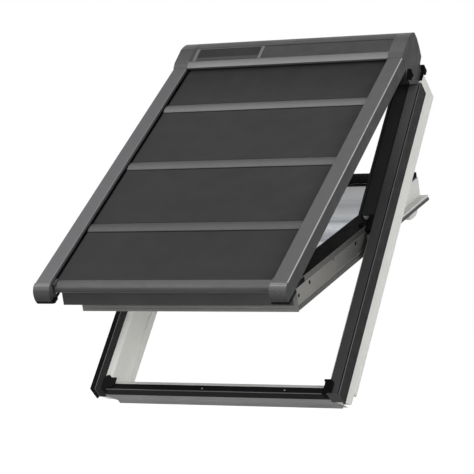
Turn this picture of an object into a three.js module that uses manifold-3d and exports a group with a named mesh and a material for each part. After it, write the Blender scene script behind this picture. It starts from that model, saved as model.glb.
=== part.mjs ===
// Centre-pivot roof window with an outside blackout shutter, shown half open.
// Millimetres, +Z up, X across the window. The window lies at the roof's pitch:
// "up" runs up the slope from the frame's lower edge, "out" runs out of the roof
// from the frame's room side. The origin is the middle of the bottom member's
// room-side face.
import * as THREE from 'three';
import { mergeVertices } from 'three/addons/utils/BufferGeometryUtils.js';
import Module from 'manifold-3d';

const wasm = await Module();
wasm.setup();

// How the window stands
const roofPitch = 54;
const sashAngle = 36.5;

// Clearances
const gap = 0.35;
const runningGap = 1;
const overrun = 5;

// Fixed frame: two sides, bottom and top, of cast timber-cored sections
const frameWidth = 780;
const frameLength = 1178;
const frameDepth = 118;
const sideThickness = 43;
const ledgeWidth = 14;
const ledgeDepth = 27;
const ledgeSlopeRun = 6;
const ledgeSlopeDepth = 21;
const frontChamferRun = 14;
const frontChamferDepth = 16;
const grooveDepth = 2.5;
const grooveWidth = 4;
const groovePlace = 19;
const endChamferRun = 32;
const endChamferDrop = 38;
const endChamferFoot = 17;
const backStepRun = 70;
const bottomThickness = 41;
const bottomLipThickness = 24;
const topThickness = 36;
const topBackThickness = 28;
const upperBlockWidth = 28.5;
const upperBlockDrop = 62;
const screwHoleRadius = 2.2;
const sideHoleRadius = 5;
const sideHoleUp = 92;
const sideHoleOut = 14;

// Metal claddings of the frame
const claddingThickness = 3.7;
const claddingProud = 5.4;
const claddingInnerOverlap = 32;
const claddingDrop = 48;
const claddingHeadGap = 45;
const ridgeWidth = 2.6;
const ridgeHeight = 1.4;
const ridgeGroove = 1.3;
const bottomBandDrop = 25;
const bottomBandWidth = 20;
const sillStep = 1;
const coverThickness = 3.2;
const coverReach = 78;
const coverLip = 8;
const coverDrop = 60;
const sealRise = 14;
const sealOverhang = 18;
const sealDrop = 14;

// Corner blocks on the lower corners
const cornerBlockLength = 43;
const leftBlockWidth = 42;
const leftBlockInset = 31;
const rightBlockWidth = 27;
const rightBlockInset = 18;
const cornerBlockCut = 10;
const cornerBlockHeight = 4.6;
const cornerLegDepth = 18;

// Sash pivot
const pivotAboveMiddle = 10;
const pinRadius = 4;
const pinGap = 0.4;
const pivotClearLower = 26;
const housingLength = 56;
const housingWidth = 15.5;
const housingDepth = 32;
const housingProud = 6;
const armWidth = 15;
const armLength = 52;
const armHeight = 11;

// Sash: sizes are from the pivot, "in" being the depth below it
const sashSideGap = 9;
const sashUpperSideGap = 4;
const sashSideWidth = 62;
const sashSillGap = 10;
const sashHeadGap = 7;
const sashFlangeOverhang = 9;
const sashTopIn = 8;
const sashBackIn = 78;
const sashFlangeIn = 66;
const sashFlangeSetback = 4;
const sashRailWidth = 62;
const glassLedgeWidth = 12;
const glassThickness = 28;
const glassBorder = 6;
const sashCoverThickness = 2.8;
const sashCoverDrop = 15;
const sideCoverThickness = 2;
const sideCoverFoot = 66;
const sideLipHeight = 6;
const sideLipProud = 1.3;
const endLipHeight = 4.4;
const sashGasketWidth = 18;
const sashGasketThickness = 8;
const upperGasketThickness = 3;
const sashGasketLip = 2.2;
const sashScrewInset = 12;
const sashScrewFirst = 96;
const sashScrewPitch = 146;
const sashScrewCount = 4;
const sashScrewIn = 44;

// Apron: the cladding over the sash's lower end
const apronSideReach = 18;
const apronOverhang = 71;
const apronRise = 14;
const apronFoot = 48.5;
const apronThickness = 3;
const apronStepBack = 14;
const apronStepAhead = 4;
const apronHoldLength = 46;
const shoeHeight = 15;
const shoeRadiusShare = 0.125;
const topCapRise = 9;

// Ventilation bar along the sash's upper end, on the room side
const barSideGap = 38;
const barWidth = 84;
const barDepth = 46;
const barHeadGap = 5;
const barKnuckleRadius = 4;

// Shutter frame: sizes are from its hinge axis
const hingeBelowHead = 70;
const hingeAboveFrame = 72;
const railBeyondHinge = -20;
const railWidth = 48.2;
const railHeight = 46;
const railSideGap = 3.5;
const railWall = 3;
const railLipUpper = 9;
const railLipLower = 14;
const railRound = 5;
const hingeToRailTop = 76.5;
const hingeToRailEnd = 24.6;
const armTongue = 60;
const armHeadRadius = 17;
const armPinClearRadius = 40;
const linerWidth = 3.2;
const linerTop = 24.5;
const linerDepth = 12;
const endCapNose = 29;
const endCapFrontWall = 12;
const endCapDrop = 56;
const endCapBack = 30;
const endCapInnerLip = 2.3;
const endStopWidth = 7;

// Curtain: places are measured down the rails from their upper end
const curtainEdgeGap = 5.3;
const fabricThickness = 1.2;
const fabricDepth = 14;
const fabricTuck = 40;
const slatPlaceShares = [0.1925, 0.4705, 0.7504];
const slatWidth = 38;
const slatCrown = 7;
const slatThickness = 2.4;
const bottomBarAboveEnd = 30;
const bottomBarWidth = 37;
const bottomBarTop = 13;
const bottomBarFall = 6;
const bottomBarHeight = 15;
const bottomBarEdgeGap = 8.3;
const runnerLength = 26;
const runnerReach = 40;
const runnerGap = 0.6;

// Casing over the rolled curtain
const casingLength = 130.4;
const casingAboveFrame = 26;
const crownRise = 4;
const casingWall = 5;
const casingCrownShares = [[0.15, 1], [0.66, 0.925], [0.82, 0.85], [0.955, 0.765], [1, 0.7]];
const casingBackShares = [[1, 0.52], [0.945, 0.3], [0.84, 0.03], [0.65, 0]];
const casingFrontFootShares = [0.12, 0.06];
const casingLipShares = [0.01, 0.42];
const mouthAboveCurtain = 5.7;
const mouthBelowRail = 26;
const casingRound = 4;
const capWall = 3.4;
const capFootLength = 50;
const hexRadius = 20;
const hexDepth = 3;
const recessDepth = 2.6;
const recessStartShare = 0.06;
const recessEndShare = 0.94;
const recessMarginShare = 0.01;
const insertThickness = 1.6;
const solarFrameShare = 0.367;
const solarFrameInset = 12;
const solarRim = 11;
const solarFrontRim = 17;
const solarBackRim = 2.5;
const solarRimHeight = 2.4;
const solarGlassThickness = 1.6;

// Roller and drive inside the casing
const rollerBeyondHinge = 55;
const rollerAboveHinge = 17;
const rollerRadius = 24;
const rollerWall = 2;
const rollerEndGap = 16;
const bracketThickness = 3;
const bracketHalfSize = 27;
const spigotRadius = 12;
const batteryLengthShare = 0.46;
const batteryWidth = 24;
const batteryHeight = 22;
const batteryCentreShare = -0.06;
const batteryUpShare = 0.17;
const motorLengthShare = 0.37;
const motorRadius = 20;

// Places that follow from the sizes above
const halfFrame = frameWidth / 2;
const originUp = (endChamferRun + bottomThickness + ledgeWidth) / 2;
const innerFace = halfFrame - sideThickness;
const frontPlane = frameDepth + claddingThickness;
const endChamferTop = frameDepth - endChamferDrop;
const upperBlockFoot = frameDepth - upperBlockDrop;
const claddingFoot = frameDepth - claddingDrop;
const bottomBandFoot = frameDepth - bottomBandDrop;
const coverFoot = frameDepth - coverDrop;
const sealFoot = frameDepth - sealDrop;
const claddingUpperEnd = frameLength - claddingHeadGap;
const coverInnerEdge = halfFrame - coverReach;
const coverLipEdge = coverInnerEdge - coverLip;
const pivotUp = frameLength / 2 + pivotAboveMiddle;
const pivotOut = frameDepth;
const blockStart = pivotUp + housingLength / 2 + gap;
const housingInnerEdge = innerFace - housingProud;
const sashHalfWidth = innerFace - sashSideGap;
const sashUpperHalfWidth = coverInnerEdge - sashUpperSideGap;
const sashInnerHalfWidth = sashHalfWidth - sashSideWidth;
const sashLowerReach = pivotUp - bottomThickness - sashSillGap;
const sashUpperReach = frameLength - topThickness - sashHeadGap - pivotUp;
const sashFlangeReach = sashUpperReach + sashFlangeOverhang;
const apronHalfWidth = sashHalfWidth + apronSideReach;
const apronReach = sashLowerReach + apronOverhang;
const apronStepStart = sashLowerReach - apronStepBack;
const apronStepEnd = sashLowerReach + apronStepAhead;
const apronHold = apronStepStart - apronHoldLength;
const barHalfWidth = sashHalfWidth - barSideGap;
const barUpperReach = sashUpperReach - barHeadGap;
const hingeUp = frameLength - hingeBelowHead;
const hingeOut = frameDepth + hingeAboveFrame;
const railLength = hingeUp + railBeyondHinge;
const railHalfSpan = halfFrame - railSideGap;
const railInnerEdge = railHalfSpan - railWidth;
const curtainHalfWidth = railInnerEdge - curtainEdgeGap;
const bottomBarPlace = railLength - bottomBarAboveEnd;
const bottomBarHalfWidth = railInnerEdge - bottomBarEdgeGap;
const slatPlaces = slatPlaceShares.map((share) => share * railLength);
const casingFoot = frameDepth + casingAboveFrame;
const casingHalf = railInnerEdge - gap;
const rollerUp = hingeUp + rollerBeyondHinge;
const rollerOut = hingeOut + rollerAboveHinge;
const rollerHalfLength = casingHalf - rollerEndGap;
const shoeRadius = (apronReach - apronStepEnd) * shoeRadiusShare;
const shoeCentre = [shoeRadius + apronThickness - apronReach, apronRise + gap + shoeHeight - shoeRadius];
const shutterAngle = angleOnShoes();
const sides = [
  { side: 'left', sign: -1, blockWidth: leftBlockWidth, blockInset: leftBlockInset },
  { side: 'right', sign: 1, blockWidth: rightBlockWidth, blockInset: rightBlockInset },
];

// The angle at which the rails' undersides rest on the shoes' round tops
function angleOnShoes() {
  const shoe = new THREE.Vector2(...shoeCentre)
    .rotateAround(new THREE.Vector2(), -THREE.MathUtils.degToRad(sashAngle));
  const fromHinge = shoe.sub(new THREE.Vector2(hingeUp - pivotUp, hingeOut - pivotOut));
  const below = hingeToRailTop - railHeight - shoeRadius - runningGap;
  return 180 - THREE.MathUtils.radToDeg(Math.asin(below / fromHinge.length()) + fromHinge.angle());
}

const paint = {
  timber: [0xc9c9c4, 0.6, 0],
  cladding: [0x46474a, 0.45, 0.6],
  blackCladding: [0x1c1d1e, 0.5, 0.3],
  blackPlastic: [0x141415, 0.6, 0],
  rubber: [0x2a2a2b, 0.8, 0],
  alloy: [0x64656a, 0.4, 0.7],
  darkPlate: [0x4b4c4e, 0.5, 0.4],
  fabric: [0x3a3b3c, 0.9, 0],
  glass: [0xa9b6c4, 0.1, 0],
  solarGlass: [0x2b2c30, 0.15, 0.1],
  steel: [0x9a9b9d, 0.4, 0.9],
  sashGrey: [0x5c5c5a, 0.55, 0.3],
  white: [0xc4c4c2, 0.5, 0],
};

function finish(name) {
  const [color, roughness, metalness] = paint[name];
  return new THREE.MeshStandardMaterial({ color, roughness, metalness });
}

// Closed outline from corner points; a third number rounds that corner
function outline(points) {
  const shape = new THREE.Shape();
  const count = points.length;
  const at = (i) => new THREE.Vector2(points[(i + count) % count][0], points[(i + count) % count][1]);
  points.forEach((point, i) => {
    const here = at(i);
    const radius = point[2] ?? 0;
    const reach = Math.min(radius, here.distanceTo(at(i - 1)) / 2, here.distanceTo(at(i + 1)) / 2);
    const before = here.clone().add(at(i - 1).sub(here).setLength(reach));
    const after = here.clone().add(at(i + 1).sub(here).setLength(reach));
    if (i === 0) shape.moveTo(before.x, before.y);
    else shape.lineTo(before.x, before.y);
    if (radius > 0) shape.quadraticCurveTo(here.x, here.y, after.x, after.y);
  });
  shape.closePath();
  return shape;
}

function flat(points) {
  return points instanceof THREE.Shape ? points : outline(points);
}

// Extrusion of an (across, out) outline up the slope
function along(points, fromUp, toUp, curveSegments = 4) {
  const settings = { depth: toUp - fromUp, bevelEnabled: false, curveSegments };
  const geometry = new THREE.ExtrudeGeometry(flat(points), settings);
  return geometry.rotateX(Math.PI / 2).translate(0, toUp, 0);
}

// Extrusion of an (up, out) outline across the window
function across(points, fromX, toX, curveSegments = 4) {
  const depth = Math.abs(toX - fromX);
  const geometry = new THREE.ExtrudeGeometry(flat(points), { depth, bevelEnabled: false, curveSegments });
  const turn = new THREE.Matrix4().makeBasis(
    new THREE.Vector3(0, 1, 0), new THREE.Vector3(0, 0, 1), new THREE.Vector3(1, 0, 0));
  return geometry.applyMatrix4(turn).translate(Math.min(fromX, toX), 0, 0);
}

// Extrusion of an (across, up) outline outwards
function outwards(points, fromOut, toOut) {
  const settings = { depth: toOut - fromOut, bevelEnabled: false, curveSegments: 4 };
  return new THREE.ExtrudeGeometry(flat(points), settings).translate(0, 0, fromOut);
}

function rod(radius, fromX, toX, up, out, steps = 24) {
  const length = Math.abs(toX - fromX);
  return new THREE.CylinderGeometry(radius, radius, length, steps)
    .rotateZ(Math.PI / 2).translate((fromX + toX) / 2, up, out);
}

function solid(geometry) {
  const plain = geometry.clone();
  plain.deleteAttribute('normal');
  plain.deleteAttribute('uv');
  const merged = mergeVertices(plain, 1e-4);
  return new wasm.Manifold(new wasm.Mesh({
    numProp: 3,
    vertProperties: Float32Array.from(merged.attributes.position.array),
    triVerts: Uint32Array.from(merged.index.array),
  }));
}

function surface(manifold) {
  const mesh = manifold.getMesh();
  const geometry = new THREE.BufferGeometry();
  geometry.setAttribute('position', new THREE.BufferAttribute(Float32Array.from(mesh.vertProperties), 3));
  geometry.setIndex(new THREE.BufferAttribute(Uint32Array.from(mesh.triVerts), 1));
  geometry.computeVertexNormals();
  return geometry;
}

function joined(...geometries) {
  return surface(geometries.map(solid).reduce((a, b) => a.add(b)));
}

function cut(base, ...tools) {
  return surface(tools.map(solid).reduce((a, b) => a.subtract(b), solid(base)));
}

function common(a, b) {
  return surface(solid(a).intersect(solid(b)));
}

function piece(group, name, geometry, material) {
  const mesh = new THREE.Mesh(geometry, finish(material));
  mesh.name = name;
  group.add(mesh);
  return mesh;
}

// Outlines are drawn for the right-hand side and mirrored for the left
function onSide(sign, points) {
  return points.map(([x, ...rest]) => [x * sign, ...rest]);
}

// The outline moved inwards by one distance for each edge
function inset(points, distances) {
  const count = points.length;
  const area = points.reduce((sum, [x, y], i) => {
    const [nextX, nextY] = points[(i + 1) % count];
    return sum + x * nextY - nextX * y;
  }, 0);
  const turn = Math.sign(area);
  const edges = points.map(([x, y], i) => {
    const [nextX, nextY] = points[(i + 1) % count];
    const length = Math.hypot(nextX - x, nextY - y);
    const normal = [-(nextY - y) / length * turn, (nextX - x) / length * turn];
    const distance = distances[i] ?? distances[distances.length - 1];
    return { normal, offset: normal[0] * x + normal[1] * y + distance };
  });
  return points.map((point, i) => {
    const a = edges[(i + count - 1) % count];
    const b = edges[i];
    const spread = a.normal[0] * b.normal[1] - a.normal[1] * b.normal[0];
    return [(a.offset * b.normal[1] - b.offset * a.normal[1]) / spread,
      (b.offset * a.normal[0] - a.offset * b.normal[0]) / spread];
  });
}

// Frame timber
function sideLowerProfile(clearance) {
  const face = innerFace - clearance;
  const ledge = innerFace - ledgeWidth - clearance;
  return [
    [halfFrame, 0], [halfFrame, groovePlace - grooveWidth / 2],
    [halfFrame - grooveDepth, groovePlace], [halfFrame, groovePlace + grooveWidth / 2],
    [halfFrame, frameDepth], [face + frontChamferRun, frameDepth],
    [face, frameDepth - frontChamferDepth], [face, ledgeDepth + ledgeSlopeDepth],
    [face - ledgeSlopeRun, ledgeDepth], [ledge, ledgeDepth], [ledge, 0],
  ];
}

function sidePivotProfile() {
  return [...sideLowerProfile(0).slice(0, 7), [innerFace, 0]];
}

function sideUpperProfile(clearance) {
  const face = innerFace - clearance;
  const block = innerFace - upperBlockWidth - clearance;
  const blockTop = frameDepth - coverThickness - gap;
  return [
    [halfFrame, 0], [halfFrame, groovePlace - grooveWidth / 2],
    [halfFrame - grooveDepth, groovePlace], [halfFrame, groovePlace + grooveWidth / 2],
    [halfFrame, frameDepth], [halfFrame - claddingInnerOverlap, frameDepth],
    [halfFrame - claddingInnerOverlap, blockTop], [block, blockTop],
    [block, upperBlockFoot], [face, upperBlockFoot], [face, 0],
  ];
}

function frameEndOutline(reach) {
  return [
    [claddingThickness + gap, frameDepth], [claddingThickness + gap, endChamferTop],
    [endChamferRun, endChamferFoot], [backStepRun, endChamferFoot], [backStepRun, 0],
    [reach, 0], [reach, frameDepth],
  ];
}

function pivotPocket(sign) {
  const inner = housingInnerEdge - overrun;
  const outer = housingInnerEdge + housingWidth + gap;
  const half = housingLength / 2 + gap;
  return outwards(onSide(sign, [
    [inner, pivotUp - half], [outer, pivotUp - half], [outer, pivotUp + half], [inner, pivotUp + half],
  ]), frontPlane - housingDepth - gap, frontPlane + overrun);
}

function frameSide(sign) {
  const lower = along(onSide(sign, sideLowerProfile(0)), 0, pivotUp - pivotClearLower);
  const middle = along(onSide(sign, sidePivotProfile()), pivotUp - pivotClearLower - overrun,
    blockStart + overrun);
  const upper = along(onSide(sign, sideUpperProfile(0)), blockStart, frameLength);
  const ends = across(frameEndOutline(frameLength), -halfFrame - overrun, halfFrame + overrun);
  const hole = rod(sideHoleRadius, sign * (innerFace - ledgeWidth - overrun),
    sign * (innerFace - ledgeWidth + overrun * 2), sideHoleUp, sideHoleOut, 12);
  return cut(common(joined(lower, middle, upper), ends), pivotPocket(sign), hole);
}

function bottomRail() {
  const half = halfFrame - overrun * 2;
  const profile = [
    [claddingThickness + gap, frameDepth], [claddingThickness + gap, endChamferTop],
    [endChamferRun, endChamferFoot], [endChamferRun, 0], [bottomThickness + ledgeWidth, 0],
    [bottomThickness + ledgeWidth, ledgeDepth], [bottomThickness, ledgeDepth],
    [bottomThickness, frameDepth - frontChamferDepth], [bottomLipThickness, frameDepth],
  ];
  const body = across(profile, -half, half);
  const sidesTaken = sides.map(({ sign }) => along(onSide(sign, sideLowerProfile(gap)), -overrun, pivotUp));
  return cut(body, ...sidesTaken);
}

function topRail() {
  const half = halfFrame - overrun * 2;
  const profile = [
    [frameLength, 0], [frameLength, frameDepth], [frameLength - topThickness, frameDepth],
    [frameLength - topThickness, upperBlockFoot], [frameLength - topBackThickness, upperBlockFoot],
    [frameLength - topBackThickness, 0],
  ];
  const sidesTaken = sides.map(({ sign }) =>
    along(onSide(sign, sideUpperProfile(gap)), pivotUp, frameLength + overrun));
  const coverSpace = (sign, edge, foot) => outwards(onSide(sign, [
    [edge - gap, pivotUp], [halfFrame, pivotUp], [halfFrame, frameLength + overrun],
    [edge - gap, frameLength + overrun],
  ]), foot - gap, frameDepth + overrun);
  const coversTaken = sides.flatMap(({ sign }) => [
    coverSpace(sign, coverInnerEdge, coverFoot),
    coverSpace(sign, coverLipEdge, frameDepth + gap * 2 - coverThickness),
  ]);
  return cut(across(profile, -half, half), ...sidesTaken, ...coversTaken);
}

// Claddings of the frame
function sideCladding(sign) {
  const outer = halfFrame + gap + claddingProud;
  const inner = halfFrame - claddingInnerOverlap + gap;
  const wall = halfFrame + gap;
  const floor = frameDepth + gap;
  const profile = [
    [wall, claddingFoot], [outer, claddingFoot], [outer, frontPlane],
    [outer - ridgeWidth / 2, frontPlane + ridgeHeight], [outer - ridgeWidth, frontPlane + ridgeHeight],
    [outer - ridgeWidth - ridgeGroove, frontPlane - ridgeGroove],
    [outer - ridgeWidth - ridgeGroove * 2, frontPlane - ridgeGroove],
    [outer - ridgeWidth - ridgeGroove * 3, frontPlane], [inner, frontPlane], [inner, floor], [wall, floor],
  ];
  const endPlate = across([
    [0, endChamferTop], [claddingThickness, endChamferTop], [claddingThickness, frontPlane], [0, frontPlane],
  ], sign * inner, sign * outer);
  return joined(along(onSide(sign, profile), 0, claddingUpperEnd), endPlate);
}

function bottomCladding() {
  const half = halfFrame - claddingInnerOverlap;
  const lowerHalf = innerFace - ledgeWidth;
  const skinBack = endChamferRun - gap;
  const skinFront = skinBack - claddingThickness + sillStep;
  const band = [
    [0, bottomBandFoot], [sillStep, bottomBandFoot], [sillStep, endChamferTop],
    [skinFront, endChamferFoot], [skinBack, endChamferFoot], [claddingThickness, endChamferTop],
    [claddingThickness, frameDepth + gap], [bottomBandWidth, frameDepth + gap],
    [bottomBandWidth, frontPlane], [ridgeGroove, frontPlane], [0, frontPlane - ridgeGroove],
  ];
  const apronStrip = [
    [skinFront, endChamferFoot + overrun], [skinFront, runningGap], [skinBack, runningGap],
    [skinBack, endChamferFoot + overrun],
  ];
  const chamferSpace = [
    [skinFront - overrun, runningGap - overrun], [skinBack, runningGap - overrun],
    [skinBack, endChamferFoot], [claddingThickness, endChamferTop], [sillStep, endChamferTop],
    [skinFront, endChamferFoot], [skinFront - overrun, endChamferFoot],
  ];
  return joined(across(band, -half, half),
    common(across(apronStrip, -lowerHalf, lowerHalf), across(chamferSpace, -lowerHalf, lowerHalf)));
}

function upperCover(sign) {
  const outer = halfFrame - claddingInnerOverlap - gap;
  const top = frameDepth + gap * 2;
  const skin = top - coverThickness;
  const profile = [
    [outer, top], [coverLipEdge, top], [coverLipEdge, skin], [coverInnerEdge, skin],
    [coverInnerEdge, coverFoot],
    [coverInnerEdge + coverThickness, coverFoot], [coverInnerEdge + coverThickness, skin], [outer, skin],
  ];
  return along(onSide(sign, profile), blockStart, frameLength - gap);
}

function topSeal() {
  const half = halfFrame + gap + claddingProud;
  const start = frameLength - topThickness + runningGap;
  const profile = [
    [start, frontPlane], [start, frameDepth + gap * 3], [frameLength + gap, frameDepth + gap * 3],
    [frameLength + gap, sealFoot],
    [frameLength + sealOverhang, sealFoot],
    [frameLength + sealOverhang, frontPlane + sealRise, casingRound],
    [frameLength + runningGap * 2, frontPlane],
  ];
  return across(profile, -half, half);
}

function cornerBlock({ sign, blockWidth, blockInset }) {
  const outer = halfFrame - blockInset;
  const inner = outer - blockWidth;
  const foot = claddingThickness + gap;
  const head = foot + cornerBlockLength;
  const top = frontPlane + gap + cornerBlockHeight;
  const legFoot = bottomThickness + gap;
  const legInner = innerFace - ledgeSlopeRun;
  const wingHead = bottomThickness - runningGap * 2;
  const padInner = Math.max(inner, legInner);
  const pad = outwards(onSide(sign, [
    [padInner, foot + cornerBlockCut], [padInner + cornerBlockCut / 2, foot], [outer, foot],
    [outer, head - cornerBlockCut], [outer - cornerBlockCut, head], [padInner, head],
  ]), frontPlane + gap, top);
  const wing = outwards(onSide(sign, [
    [inner, foot + cornerBlockCut], [inner + cornerBlockCut, foot], [padInner + cornerBlockCut, foot],
    [padInner + cornerBlockCut, wingHead], [inner, wingHead],
  ]), frontPlane + gap, top);
  const leg = outwards(onSide(sign, [
    [legInner, legFoot], [innerFace - gap, legFoot], [innerFace - gap, head], [legInner, head],
  ]), frontPlane - cornerLegDepth, top);
  return inner < legInner ? joined(pad, leg, wing) : joined(pad, leg);
}

function pivotHousing(sign) {
  const inner = housingInnerEdge;
  const outer = housingInnerEdge + housingWidth;
  const half = housingLength / 2;
  const block = outwards(onSide(sign, [
    [inner, pivotUp - half], [outer, pivotUp - half], [outer, pivotUp + half], [inner, pivotUp + half],
  ]), frontPlane - housingDepth, frontPlane + runningGap);
  const bore = rod(pinRadius + pinGap, sign * (inner - overrun), sign * (outer + overrun),
    pivotUp, pivotOut);
  return cut(block, bore);
}

// Sash: local up is from the pivot, local out is from the pivot
function sashSide(sign) {
  const inner = sashInnerHalfWidth;
  const ledge = sashInnerHalfWidth - glassLedgeWidth;
  const glassFloor = -sashTopIn - gap - glassThickness - gap;
  const lowerOuter = sashHalfWidth - sideCoverThickness - gap;
  const flangeOuter = sashHalfWidth - sashFlangeSetback;
  const lower = along(onSide(sign, [
    [ledge, -sashBackIn], [lowerOuter, -sashBackIn], [lowerOuter, -sashTopIn], [inner, -sashTopIn],
    [inner, glassFloor], [ledge, glassFloor],
  ]), -sashLowerReach, 0);
  const upper = along(onSide(sign, [
    [ledge, -sashBackIn], [flangeOuter, -sashBackIn], [flangeOuter, -sashFlangeIn],
    [sashUpperHalfWidth, -sashFlangeIn], [sashUpperHalfWidth, -sashTopIn], [inner, -sashTopIn],
    [inner, glassFloor], [ledge, glassFloor],
  ]), -overrun, sashUpperReach);
  return joined(lower, upper);
}

function sashCrossRail(end, reach, flangeReach) {
  const half = sashInnerHalfWidth - gap;
  const glassFloor = -sashTopIn - gap - glassThickness - gap;
  const inner = reach - sashRailWidth;
  const profile = [
    [inner, -sashTopIn], [reach, -sashTopIn], [reach, -sashFlangeIn], [flangeReach, -sashFlangeIn],
    [flangeReach, -sashBackIn], [inner - glassLedgeWidth, -sashBackIn],
    [inner - glassLedgeWidth, glassFloor], [inner, glassFloor],
  ].map(([up, out]) => [up * end, out]);
  const sidesTaken = sides.map(({ sign }) => along(onSide(sign, [
    [sashInnerHalfWidth - glassLedgeWidth - gap, -sashBackIn - overrun],
    [sashHalfWidth, -sashBackIn - overrun], [sashHalfWidth, glassFloor + gap],
    [sashInnerHalfWidth - glassLedgeWidth - gap, glassFloor + gap],
  ]), -sashLowerReach, sashUpperReach));
  return cut(across(profile, -half, half), ...sidesTaken);
}

function glassUnit() {
  const half = sashInnerHalfWidth - gap;
  const low = -(sashLowerReach - sashRailWidth) + gap;
  const high = sashUpperReach - sashRailWidth - gap;
  const top = -sashTopIn - gap;
  return outwards([[-half, low], [half, low], [half, high], [-half, high]], top - glassThickness, top);
}

function sashTopCover(sign) {
  const floor = -sashTopIn + gap;
  const top = floor + sashCoverThickness;
  const inner = sashInnerHalfWidth - glassBorder;
  const lowerOuter = sashHalfWidth + gap;
  const lower = along(onSide(sign, [
    [inner, floor], [lowerOuter - runningGap, floor], [lowerOuter - runningGap, floor - sashCoverDrop],
    [lowerOuter, floor - sashCoverDrop], [lowerOuter, top], [inner, top],
  ]), -(apronHold - gap), 0);
  const upper = along(onSide(sign, [
    [inner, floor], [sashUpperHalfWidth, floor], [sashUpperHalfWidth, top], [inner, top],
  ]), -overrun, sashUpperReach - sashRailWidth - gap);
  return joined(lower, upper);
}

function sashSideCover(sign) {
  const outer = sashHalfWidth;
  const inner = sashHalfWidth - sideCoverThickness;
  const top = -sashTopIn - sashCoverDrop;
  const profile = [
    [inner, -sideCoverFoot - sideLipHeight], [outer + sideLipProud, -sideCoverFoot - sideLipHeight],
    [outer + sideLipProud, -sideCoverFoot], [outer, -sideCoverFoot], [outer, top], [inner, top],
  ];
  const plate = along(onSide(sign, profile), -sashLowerReach, -sashScrewInset);
  const holes = Array.from({ length: sashScrewCount }, (_, i) => rod(
    screwHoleRadius, sign * (inner - overrun), sign * (outer + overrun),
    -(sashScrewFirst + i * sashScrewPitch), -sashScrewIn, 10));
  return cut(plate, ...holes);
}

function sashGasket(sign) {
  const outer = sashHalfWidth + gap;
  const back = -sashBackIn - gap;
  const profile = (thickness) => onSide(sign, [
    [outer - sashGasketWidth, back - thickness], [outer, back - thickness],
    [outer, -sideCoverFoot - sideLipHeight - gap],
    [outer - sashGasketLip, -sideCoverFoot - sideLipHeight - gap],
    [outer - sashGasketLip, back], [outer - sashGasketWidth, back],
  ]);
  return joined(along(profile(sashGasketThickness), -sashLowerReach, 0),
    along(profile(upperGasketThickness), -overrun, barUpperReach));
}

function apron() {
  const floor = -sashTopIn + gap;
  const under = apronRise - apronThickness;
  const hold = [
    [-apronHold, floor], [-apronStepStart, floor], [-apronStepEnd, under],
    [-apronStepEnd - overrun, under], [-apronStepEnd - overrun, apronRise], [-apronStepEnd, apronRise],
    [-apronStepStart, floor + apronThickness], [-apronHold, floor + apronThickness],
  ];
  const hood = [
    [-apronStepEnd, under], [-(apronReach - apronThickness), under],
    [-(apronReach - apronThickness), -apronFoot], [-apronReach, -apronFoot],
    [-apronReach, apronRise, apronThickness], [-apronStepEnd, apronRise],
  ];
  return joined(across(hold, -sashHalfWidth, sashHalfWidth), across(hood, -apronHalfWidth, apronHalfWidth));
}

function sashEndPlate() {
  const half = sashHalfWidth - runningGap;
  const foot = ledgeDepth + runningGap - pivotOut;
  const outer = -(sashLowerReach + gap + sideCoverThickness);
  const inner = -(sashLowerReach + gap);
  const profile = [
    [inner, -sashTopIn], [outer, -sashTopIn],
    ...[3, 1].flatMap((step) => {
      const low = foot + endLipHeight * step;
      return [[outer, low + endLipHeight], [outer - sideLipProud, low + endLipHeight],
        [outer - sideLipProud, low], [outer, low]];
    }),
    [outer, foot], [inner, foot],
  ];
  return across(profile, -half, half);
}

function sashTopCap() {
  const inner = sashUpperReach - sashRailWidth;
  const floor = -sashTopIn + gap;
  const profile = [
    [inner, floor], [sashUpperReach + gap, floor], [sashUpperReach + gap, -sashFlangeIn + gap],
    [sashUpperReach + gap + sideCoverThickness, -sashFlangeIn + gap],
    [sashUpperReach + gap + sideCoverThickness, topCapRise, sashCoverThickness],
    [inner + sashRailWidth / 2, topCapRise], [inner, floor + sashCoverThickness],
  ];
  const half = coverLipEdge - runningGap;
  return across(profile, -half, half);
}

function pivotArm(sign) {
  const outer = sashHalfWidth - gap;
  const foot = -sashTopIn + gap + sashCoverThickness + gap;
  const block = across([
    [-armLength / 2, foot], [armLength / 2 - armHeight, foot], [armLength / 2 - armHeight, foot + armHeight],
    [-armLength / 2, foot + armHeight, armHeight / 2],
  ], sign * (outer - armWidth), sign * outer);
  const reach = housingInnerEdge + housingWidth - runningGap;
  return joined(block, rod(pinRadius, sign * (outer - armWidth / 2), sign * reach, 0, 0));
}

function supportShoe(sign) {
  const outer = apronHalfWidth;
  const inner = railInnerEdge + runningGap;
  const foot = apronRise + gap;
  const [centre, top] = shoeCentre;
  const shape = new THREE.Shape();
  shape.moveTo(centre - shoeRadius, foot);
  shape.lineTo(centre + shoeRadius, foot);
  shape.lineTo(centre + shoeRadius, top);
  shape.absarc(centre, top, shoeRadius, 0, Math.PI, false);
  shape.closePath();
  return across(shape, sign * inner, sign * outer, 10);
}

function ventBar() {
  const high = barUpperReach;
  const low = barUpperReach - barWidth;
  const top = -sashBackIn - gap * 2;
  const deep = top - barDepth;
  const profile = [
    [low, top], [high, top], [high, top - barDepth / 3, barDepth / 2],
    [high - barWidth / 4, deep, barDepth / 2], [low, deep, barDepth / 4],
  ];
  return across(profile, -barHalfWidth, barHalfWidth, 6);
}

// The strip's knuckle is round about the bar's hinge axis
function ventHinge() {
  const foot = -sashBackIn;
  const low = barUpperReach + gap;
  const radius = barKnuckleRadius;
  const shape = new THREE.Shape();
  shape.moveTo(low, foot);
  shape.lineTo(low, foot - radius);
  shape.absarc(low + radius, foot - radius, radius, Math.PI, Math.PI * 1.5, false);
  shape.lineTo(low + radius * 2, foot - radius * 2);
  shape.lineTo(low + radius * 3, foot - radius);
  shape.lineTo(low + radius * 3, foot);
  shape.closePath();
  return across(shape, -barHalfWidth, barHalfWidth, 6);
}

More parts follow.
